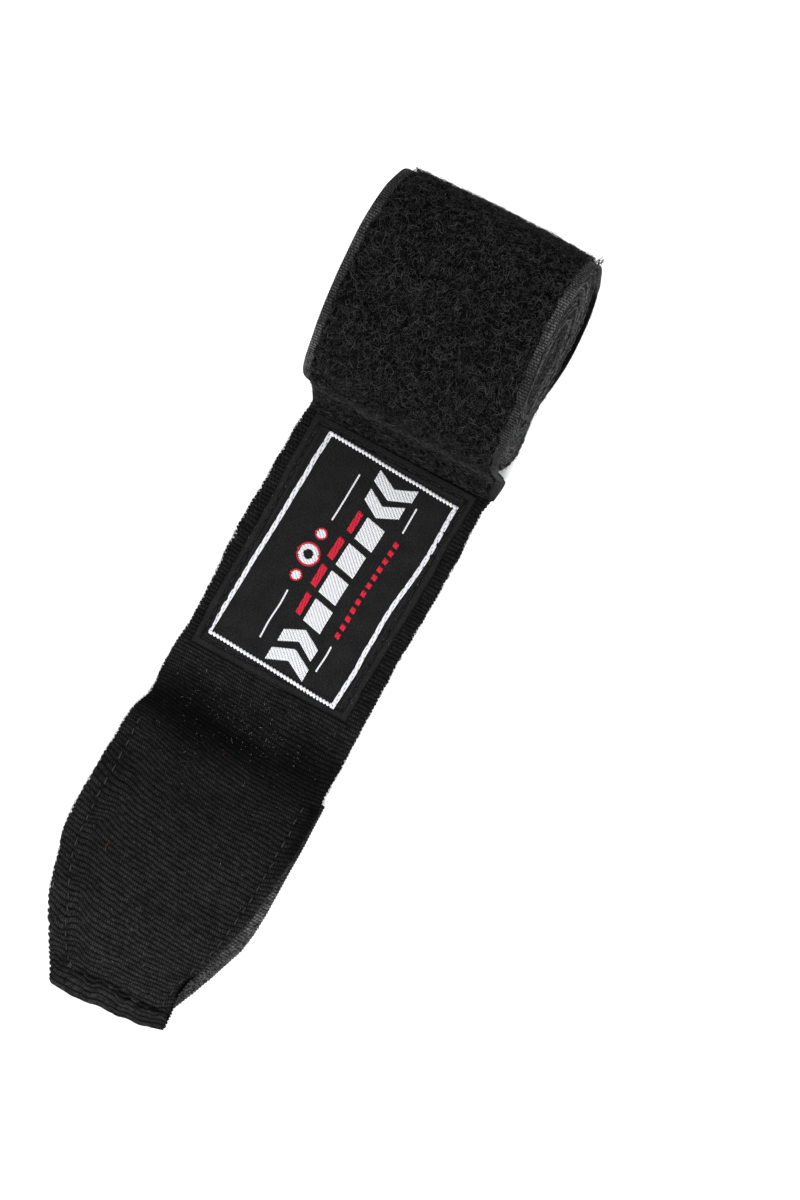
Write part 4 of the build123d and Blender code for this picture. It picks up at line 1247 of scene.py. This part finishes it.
def figures():
    white, red, long_white = [], [], []
    mid = FW / 2
    # bold row: two chevrons each side, four leaning blocks between, the ends taller than the middle
    for i, (p, q0, q1) in enumerate(((1.3, 9.6, 20.7), (6.6, 10.6, 20.3))):
        white += floats(chevron(p, q0, q1, 3.3, 2.6))
        white += floats([(FW - a, b) for a, b in chevron(p, q0, q1, 3.3, 2.6)])
    for i in range(4):
        p = mid - 15.4 + i * 7.9
        lift = 0.5 * (1 - abs(i - 1.5) / 1.5)
        white += floats(box(p, 11.9 + lift, p + 6.2, 17.3 + lift, 0.9))
        red += floats(box(p + 1.3, 18.4 + lift, p + 7.1, 20.1 + lift, 0.4), pitch=0.25, length=2.6, shift=0.9)
    # emblem: a ring with a red rim between two small discs
    white += floats(circle(mid, 24.6, 2.55), holes=[circle(mid, 24.6, 1.25)])
    red += floats(circle(mid, 24.6, 3.05, 32), holes=[circle(mid, 24.6, 2.62, 32)], pitch=0.25, length=2.6, shift=0.9)
    for side in (-1, 1):
        white += floats(circle(mid + side * 5.9, 24.6, 1.15))
        red += floats(circle(mid + side * 5.9, 24.6, 1.55), holes=[circle(mid + side * 5.9, 24.6, 1.2)], pitch=0.25, length=2.6, shift=0.9)
    # small red dashes
    for i in range(12):
        p = mid - 14.2 + i * 2.4
        red += floats(box(p, 7.3, p + 1.5, 8.6, 0.2), pitch=0.25, length=2.6, shift=0.9)
    weave("label_figure_white", white, WHITE)
    weave("label_figure_red", red, RED, width=0.15)
    # long sides of the frame: satin floats side by side
    for q in (0.0, FH):
        long_white += floats(box(-0.5, q - 0.56, FW + 0.5, q + 0.56), pitch=0.28, length=3.3, shift=1.1)
    weave("label_frame_long_sides", long_white, WHITE, width=0.175, high=0.5, over=0.06)
    # thin lines beside the emblem and the dashes, and the corded short sides
    cords = []
    for p0, p1, q in ((5.2, 18.6, 24.3), (38.9, 52.2, 24.3), (5.2, 12.2, 8.0), (45.2, 52.2, 8.0)):
        n = int((p1 - p0) / 0.62)
        for i in range(n):
            a = p0 + i * (p1 - p0) / n
            cords.append([(a, q - 0.05), (a + (p1 - p0) / n * 1.15, q + 0.05), 0.235])
    for p in (0.0, FW):
        n = int(FH / 0.95)
        for i in range(n):
            a = i * FH / n
            cords.append([(p - 0.36, a + 0.02), (p + 0.36, a + 0.92), 0.40])
    pts, rad = [], []
    t = np.linspace(0, 1, 5)
    for (a, b, r) in cords:
        p, q = a[0] + (b[0] - a[0]) * t, a[1] + (b[1] - a[1]) * t
        x, y = on_frame(p, q)
        pts.append(np.stack([x, y, label_z(x, y) + 0.13 - 0.09 * (2 * t - 1) ** 4], 1))
        rad.append(r * (1 - 0.30 * (2 * t - 1) ** 4))
    v, f = tubes(np.array(pts), np.array(rad), sides=7, flat=0.5)
    ob = make("label_cords", v, f, WHITE)
    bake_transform(ob)


figures()


def label_stitches():
    def at(a_mm, b_mm):
        return quad(CORNERS, a_mm / LW, b_mm / LH)
    i = 2.0
    rows = []
    for k, (u, v) in enumerate((((i, i), (LW - i, i)), ((LW - i, i), (LW - i, LH - i)), ((LW - i, LH - i), (i, LH - i)), ((i, LH - i), (i, i)))):
        rows.append(along([at(*u), at(*v)], 2.3, 0.75, jitter=0.12, seed=k, start=0.8))
    e = np.concatenate(rows)
    v, f = stitch_mesh(place(e, label_z, 0.02), 0.19, sink=0.16, lift=0.10)
    ob = make("label_stitches", v, f, THREAD)
    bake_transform(ob)
    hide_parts("label_stitching")
    # pale ends of the webbing's stretch yarns pushed up through the needle holes
    rng = np.random.default_rng(141)
    q = place(e, label_z, 0.0).reshape(-1, 3)
    q = q[rng.random(len(q)) < 0.42]
    q = q + rng.normal(0, 1, q.shape) * np.array([0.22, 0.22, 0.0]) + np.array([0, 0, 0.10])
    n = len(q)
    t = np.linspace(-1, 1, 4)[None, :, None]
    d = rng.normal(0, 1, (n, 1, 3)) * np.array([0.10, 0.10, 0.02])
    v, f = tubes(q[:, None] + d * t, rng.uniform(0.030, 0.060, n)[:, None] * np.array([0.6, 1, 1, 0.6])[None], sides=4)
    dots = make("label_needle_dots", v, f, SPECK)
    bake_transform(dots)


label_stitches()

# ------------------------------------------------------------------ hook tape under the tail
_hl = np.array([(-149.6, 8.2), (-147.0, 10.2), (-141.0, 14.2), (-135.0, 17.4), (-128.0, 19.7), (-121.0, 21.9), (-113.0, 22.8), (-86.0, 22.6)])
_hr = np.array([(-149.6, -14.6), (-148.4, -17.6), (-146.6, -19.0), (-144.8, -19.9), (-140.5, -21.6), (-135.8, -23.4),
                (-130.8, -25.2), (-125.9, -26.8), (-121.2, -27.4), (-117.0, -27.5), (-96.0, -27.2), (-86.0, -26.6)])


def tape_top(x, y):
    return lie(x) - 0.30 + sway(x, y) - 0.06


def hook_tape():
    xs = np.concatenate([np.arange(-86.5, -149.0, -0.135), [-149.3]])
    yl = np.interp(xs, _hl[:, 0], _hl[:, 1]) + 0.08 * vnoise(xs / 5.0, 0.0, 81)
    yr = np.interp(xs, _hr[:, 0], _hr[:, 1]) + 0.10 * vnoise(xs / 5.0, 5.0, 81)
    y, off = across(yr, yl, 6)
    X = np.repeat(xs[:, None], y.shape[1], 1)
    U = (X + 0.15 * vnoise(X / 6.0, y / 4.0, 82)) / 0.78
    r = rib_height(U, 0.6)
    ex = np.minimum(-86.5 - X, X + 149.3)
    o2 = np.minimum(off, ex)
    edge = np.sqrt(np.clip(1 - (1 - np.clip(o2 / 0.26, 0, 1)) ** 2, 0, 1))
    rope = 0.12 * np.exp(-((o2 - 0.30) / 0.25) ** 2)
    side = np.where(np.arange(y.shape[1]) < y.shape[1] // 2, -1, 1)[None]
    Y = y + 0.26 * (r - 0.6) * np.exp(-(off / 0.4) ** 2) * side
    z = tape_top(X, Y)
    # rib tops lighter and grooves darker: painted shade; also darker towards the front end and past x -122
    tone = (0.10 + 0.90 * smooth(0.3, 0.95, r)) * (0.75 + 0.6 * vnoise(X / 1.0, y / 0.6, 84)) * (0.25 + 0.75 * smooth(-96.0, -122.0, X))
    tone = tone * (1 - 0.35 * smooth(-122.0, -132.0, X))
    top = np.stack([X, Y, z - 0.24 + (0.06 + 0.20 * r + rope) * edge], -1)
    bot = np.stack([X, Y, z - 0.24 - (0.22 + 0.06 * r) * edge], -1)
    under_tone = 0.13 * (0.5 + 0.5 * r) * np.ones_like(X)
    under_tone = np.where(off < 1.6, tone * 0.6, under_tone)
    ob = slab("hook_tape_ground", top, bot, HOOKWEB, np.stack([U, Y], -1), tone, under_tone)
    # hooks in rows, every second row shifted, tips on the table
    rng = np.random.default_rng(83)
    pts = []
    for i, x in enumerate(np.arange(-88.0, -147.2, -1.35)):
        a, b = np.interp(x, _hr[:, 0], _hr[:, 1]) + 2.6, np.interp(x, _hl[:, 0], _hl[:, 1]) - 1.6
        for yy in np.arange(a + (i % 2) * 0.65, b, 1.3):
            h = tape_top(x, yy) - 0.50
            ln = h - 0.04
            g = rng.normal(0, 0.06, 2)
            s = 1 if (i % 4) < 2 else -1
            c = [(0, 0, 0.12), (0.02, 0, -0.35 * ln), (0.04, 0, -0.66 * ln), (0.16, 0, -0.90 * ln), (0.36, 0, -0.93 * ln), (0.50, 0, -0.74 * ln), (0.48, 0, -0.55 * ln)]
            pts.append([(x + g[0] + s * dx, yy + g[1] + 0.25 * dx, h + dz) for dx, dy, dz in c])
    p = np.array(pts)
    rad = np.full(p.shape[:2], 0.10) * np.array([1, 1, 1, 1, 1, 0.95, 0.7])[None]
    p[..., 2] = np.maximum(p[..., 2], 0.11)
    v, f = tubes(p, rad, sides=5)
    hooks = make("hook_tape_hooks", v, f, HOOKS)
    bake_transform(ob)
    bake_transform(hooks)
    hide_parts("hook_tape")
    # cut hooks and fluff standing along the right edge, where the strip shows beside the webbing
    n = 900
    fx = rng.uniform(-147.5, -119.0, n)
    fy = np.interp(fx, _hr[:, 0], _hr[:, 1]) + 0.15 + rng.uniform(0, 1, n) ** 1.3 * np.interp(fx, [-148, -138, -126, -119], [2.6, 2.4, 1.5, 0.7])
    t = np.linspace(0, 1, 5)[None]
    a0, l = rng.uniform(0, 2 * math.pi, n)[:, None], rng.uniform(0.25, 0.75, n)[:, None]
    bend = rng.normal(0, 1.6, n)[:, None]
    q = np.stack([fx[:, None] + l * t * np.cos(a0 + bend * t), fy[:, None] + l * t * np.sin(a0 + bend * t),
                  tape_top(fx, fy)[:, None] + 0.02 + 0.28 * np.sin(math.pi * t) * rng.uniform(0.4, 1.2, n)[:, None]], -1)
    v, f = tubes(q, rng.uniform(0.030, 0.055, n)[:, None] * np.array([0.8, 1, 1, 0.9, 0.6])[None])
    fluff = make("hook_tape_fluff", v, f, HOOKFLUFF, None, np.repeat(rng.choice([0.2, 0.8, 1.7], n, p=[0.35, 0.35, 0.3]), 15))
    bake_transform(fluff)


hook_tape()


def tail_seams():
    rows = [along(LEFT_SEAM, 2.0, 1.2, jitter=0.22, seed=11, start=1.0), along(RIGHT_SEAM, 2.0, 1.2, jitter=0.22, seed=12, start=1.4)]
    e = np.concatenate(rows)
    v, f = stitch_mesh(place(e, surface_z, 0.03), 0.14, sink=0.26, lift=0.06)
    ob = make("hook_tape_stitches", v, f, SEAM)
    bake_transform(ob)
    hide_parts("hook_tape_stitching")


tail_seams()


# ------------------------------------------------------------------ hem at the end of the tail
def hem():
    """The last few millimetres turned back over the top, with its raw edge stitched down in a deep crease."""
    m, n = 56, 200
    b = np.linspace(0, 1, n)
    yin = 10.4 - b * 29.8
    xin = np.interp(-yin, [-10.6, -2.0, 6.5, 14.0, 19.4], [-147.9, -148.0, -147.4, -147.2, -146.6])
    xin = xin + 0.55 * vnoise(yin / 2.6, 0.0, 91) + 0.20 * vnoise(yin / 0.8, 0.0, 94)
    oy = 8.6 - b * 28.9
    ox = np.interp(-oy, [-8.6, -7.8, -2.3, 6.5, 14.6, 20.3], [-153.2, -153.9, -153.95, -153.05, -152.5, -150.9])
    ox = ox + 0.20 * vnoise(oy / 2.4, 3.0, 91) + 0.07 * vnoise(oy / 0.8, 4.0, 91)
    a = np.linspace(0, 1, m)[:, None]
    X = xin[None] * (1 - a) + ox[None] * a
    Y = yin[None] * (1 - a) + oy[None] * a
    Y, X = Y[:, ::-1], X[:, ::-1]
    e, eo = a * 5.6, (1 - a) * 5.6
    ey = np.minimum(b, 1 - b)[None] * 29
    near = np.minimum(e, ey)
    rnd = np.sqrt(np.clip(1 - (1 - np.clip(near / 0.40, 0, 1)) ** 2, 0, 1))
    rndo = np.sqrt(np.clip(1 - (1 - np.clip(eo / 0.9, 0, 1)) ** 2, 0, 1))
    U = (eo + 0.35 * vnoise(X / 3.0, Y / 5.0, 92)) / 1.12
    r = rib_height(U)
    base = lie(X) + rise(X, Y)
    inside = 1 - smooth(5.4, 7.6, Y)
    pinch = np.exp(-((e - 0.9 - 0.25 * vnoise(Y / 2.0, 1.0, 96)) / 0.45) ** 2) * (0.70 + 0.45 * vnoise(Y / 2.4, 0.0, 95)) * (0.15 + 0.85 * inside)
    puff = 0.62 + 0.20 * r + 0.22 * vnoise(X / 1.8, Y / 2.4, 93) + 0.30 * np.exp(-((e - 2.2) / 1.2) ** 2) - 0.42 * pinch
    top = base + 0.16 + puff * rnd * rndo
    bot = base + 0.06 - (0.42 * (1 - smooth(0.0, 1.8, eo)))
    slub = 1 + 0.40 * vnoise(eo / 0.75, Y / 1.2, 97) + 0.30 * vnoise(X / 0.45, Y / 0.45, 98)
    # rib grooves, the stitched crease and the fold's inner edge darkened: painted shade
    tone = (0.05 + 0.95 * smooth(0.32, 0.97, r)) * (1 - 0.85 * pinch) * (0.25 + 0.75 * np.maximum(smooth(0.0, 0.6, e), 1 - inside)) * 1.12 * slub
    ob = slab("hem_fold", np.stack([X, Y, top], -1), np.stack([X, Y, bot], -1), WEB, np.stack([U, Y], -1), tone * np.ones_like(X))
    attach(ob, "tail")
    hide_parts("end_hem_fold")
    line = [(x - 0.85, y) for x, y in zip(xin[::8], yin[::8])]
    e2 = along(line[1:-1], 2.0, 1.2, jitter=0.14, seed=21, start=0.4)

    def z(x, y):
        return lie(x) + rise(x, y) + 0.16 + 0.34
    v, f = stitch_mesh(place(e2, z, 0.10), 0.13, sink=0.24, lift=0.06)
    rng = np.random.default_rng(22)
    for i in range(7):
        c = np.array([-147.6 - 0.45 * i, 6.3 - 0.5 * i]) + rng.normal(0, 0.28, 2)
        g = rng.uniform(0, math.pi)
        d = 0.75 * np.array([math.cos(g), math.sin(g)])
        q = np.array([[c - d, c + d]])
        v2, f2 = stitch_mesh(place(q, z, 0.16), 0.13, sink=0.10, lift=0.22)
        v, f = merge([(v, f), (v2, f2)])
    st = make("hem_stitches", v, f, SEAM)
    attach(st, "tail")
    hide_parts("hem_stitching")


hem()


# ------------------------------------------------------------------ loose fibres and specks
def edge_fuzz():
    """Short fibres along the webbing's edges."""
    rng = np.random.default_rng(101)
    n = 2600
    x = rng.uniform(-152.0, -4.0, n)
    side = rng.choice([-1, 1], n)
    y = np.where(side > 0, np.interp(x, _xl, _yl), np.interp(x, _xr, _yr))
    z = lie(x) + rise(x, y) + rng.uniform(-0.2, 0.2, n)
    k = 5
    t = np.linspace(0, 1, k)[None]
    l = rng.uniform(0.25, 0.75, n)[:, None]
    out = side[:, None] * l * t * rng.uniform(0.5, 1.0, n)[:, None]
    px = x[:, None] + rng.normal(0, 0.5, n)[:, None] * t * l + rng.normal(0, 0.35, n)[:, None] * t ** 2
    pz = np.maximum(z[:, None] + rng.normal(0, 0.35, n)[:, None] * t * l, 0.03)
    p = np.stack([px, y[:, None] - side[:, None] * 0.1 + out, pz], -1)
    v, f = tubes(p, rng.uniform(0.018, 0.032, n)[:, None] * np.array([1, 1, 1, 0.8, 0.5])[None])
    lab = x > -83.2
    for name, sel, body in (("fuzz_label_section", lab, "label_section"), ("fuzz_tail", ~lab, "tail")):
        v, f = tubes(p[sel], rng.uniform(0.018, 0.032, sel.sum())[:, None] * np.array([1, 1, 1, 0.8, 0.5])[None])
        ob = make(name, v, f, FUZZ, None, np.repeat(rng.uniform(0.3, 1.4, int(sel.sum())), 15))
        if body == "tail":
            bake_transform(ob)
        else:
            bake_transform(ob)


edge_fuzz()


def roll_fuzz():
    """Fibres that stand off the turns' edges on both faces of the roll."""
    rng = np.random.default_rng(111)
    n = 7600
    i = rng.integers(0, len(W_S) - 1, n)
    # more on the outer turns, which have more length
    side = rng.choice([-1, 1], n)
    d = rng.uniform(-0.28, 0.28, n)
    x = W_X[i] + d * W_NX[i]
    z = W_Z[i] + d * W_NZ[i]
    y = np.where(side > 0, W_YL[i], W_YR[i])
    k = 5
    t = np.linspace(0, 1, k)[None]
    tx, tz = -W_NZ[i], W_NX[i]
    l = rng.uniform(0.4, 1.5, n)[:, None]
    a = rng.normal(0, 0.8, n)[:, None]
    b = rng.normal(0, 0.5, n)[:, None]
    px = x[:, None] + l * t * (a * tx[:, None] + b * W_NX[i][:, None])
    pz = z[:, None] + l * t * (a * tz[:, None] + b * W_NZ[i][:, None])
    py = y[:, None] + side[:, None] * (np.sin(t * math.pi * rng.uniform(0.6, 1.1, n)[:, None]) * rng.uniform(0.1, 0.40, n)[:, None] - 0.08)
    pz = np.maximum(pz, 0.03)
    v, f = tubes(np.stack([px, py, pz], -1), rng.uniform(0.022, 0.040, n)[:, None] * np.array([1, 1, 1, 0.8, 0.5])[None])
    ob = make("fuzz_roll_faces", v, f, FUZZ, None, np.repeat(rng.choice([0.2, 0.7, 1.8], n, p=[0.4, 0.35, 0.25]), 15))
    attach(ob, "roll")


roll_fuzz()


def specks():
    """Tiny pale ends of the stretch yarns that show between the ribs."""
    rng = np.random.default_rng(121)
    xs = np.concatenate([rng.normal(-77.5, 6.0, 240), rng.uniform(-150, -68, 150)])
    ys = np.concatenate([rng.normal(1, 11, 240), rng.uniform(-22, 18, 150)])
    keep = (xs < -67.5) & (xs > -146) & (ys > -23) & (ys < 20) & (ys < np.interp(xs, _xl, _yl) - 1) & (ys > np.interp(xs, _xr, _yr) + 1)
    xs, ys = xs[keep], ys[keep]
    z = surface_z(xs, ys) + 0.03
    k = 4
    t = np.linspace(-1, 1, k)[None]
    ang = rng.uniform(0, math.pi, len(xs))[:, None]
    l = rng.uniform(0.05, 0.13, len(xs))[:, None] * np.where(rng.random(len(xs)) < 0.1, 2.5, 1.0)[:, None]
    p = np.stack([xs[:, None] + np.cos(ang) * l * t, ys[:, None] + np.sin(ang) * l * t, z[:, None] + 0.02 * (1 - t ** 2)], -1)
    lab = xs > -83.2
    rad = rng.uniform(0.025, 0.055, len(xs))[:, None] * np.array([0.6, 1, 1, 0.6])[None]
    for name, sel in (("specks_label_section", lab), ("specks_tail", ~lab)):
        v, f = tubes(p[sel], rad[sel], sides=4)
        ob = make(name, v, f, SPECK)
        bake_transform(ob)
    # pale specks along the label's turned edge
    n = 46
    side = rng.choice([0, 1], n)
    a = rng.uniform(0.04, 0.96, n) * LW
    b = np.where(side == 0, rng.uniform(0.3, 1.4, n), LH - rng.uniform(0.3, 1.4, n))
    x, y = quad(CORNERS, a / LW, b / LH)
    z = label_z(x, y) + 0.02
    ang = rng.uniform(0, math.pi, n)[:, None]
    l = rng.uniform(0.05, 0.11, n)[:, None]
    p = np.stack([x[:, None] + np.cos(ang) * l * t, y[:, None] + np.sin(ang) * l * t, z[:, None] + 0.02 * (1 - t ** 2)], -1)
    v, f = tubes(p, rng.uniform(0.03, 0.055, n)[:, None] * np.array([0.6, 1, 1, 0.6])[None], sides=4)
    ob = make("specks_label", v, f, SPECK)
    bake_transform(ob)


specks()


def lint():
    """Stray bits: one red thread on the tail, a pale one, and a frayed tuft at the roll's far corner."""
    def strand(name, pts, r, mat, body, tone=None):
        v, f = tubes(np.array([pts]), np.full((1, len(pts)), r), sides=5)
        ob = make(name, v, f, mat, None, None if tone is None else np.full(len(v), tone))
        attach(ob, body)
    def on_top(xy, dz=0.12):
        return [(x, y, float(surface_z(x, y)) + dz) for x, y in xy]
    strand("lint_red", on_top([(-118.3, 12.6), (-119.1, 12.9), (-120.0, 12.8), (-120.9, 12.5)]), 0.06, LINT, "tail")
    strand("lint_red_small", on_top([(-87.0, 0.0), (-87.2, 0.15), (-87.45, 0.1)]), 0.05, LINT, "tail")
    strand("lint_pale", on_top([(-133.0, 19.3), (-133.6, 19.0), (-134.3, 18.9)]), 0.07, SPECK, "tail")
    rng = np.random.default_rng(131)
    s0 = PANEL_S0
    for i in range(22):
        s = s0 + 16.0 + rng.uniform(-2.0, 2.5)
        y = -PANEL_HALF + 0.8 + rng.uniform(-0.1, 4.5) * (0.25 if i < 12 else 1.0)
        x, z = on_path(np.array([s]), BASE + rng.uniform(0.3, 0.8))
        l = rng.uniform(1.2, 2.6) if i < 12 else rng.uniform(0.6, 1.3)
        dx, dy, dz = 0.90 + rng.normal(0, 0.12), -0.22 + rng.normal(0, 0.18), 0.40 + rng.normal(0, 0.2)
        pts = [(x[0] + dx * l * u, y + dy * l * u + 0.2 * math.sin(3 * u + i), z[0] + dz * l * u + 0.15 * math.sin(4 * u)) for u in (0, 0.25, 0.5, 0.75, 1.0)]
        strand(f"frayed_corner_{i + 1}", pts, 0.07 if i < 12 else 0.045, FUZZ, "roll", 0.2)


lint()

# ------------------------------------------------------------------ the CAD node that is still shown
frame["nodes"]["thumb_loop_bar_tack"].data.materials.clear()
frame["nodes"]["thumb_loop_bar_tack"].data.materials.append(THREAD)
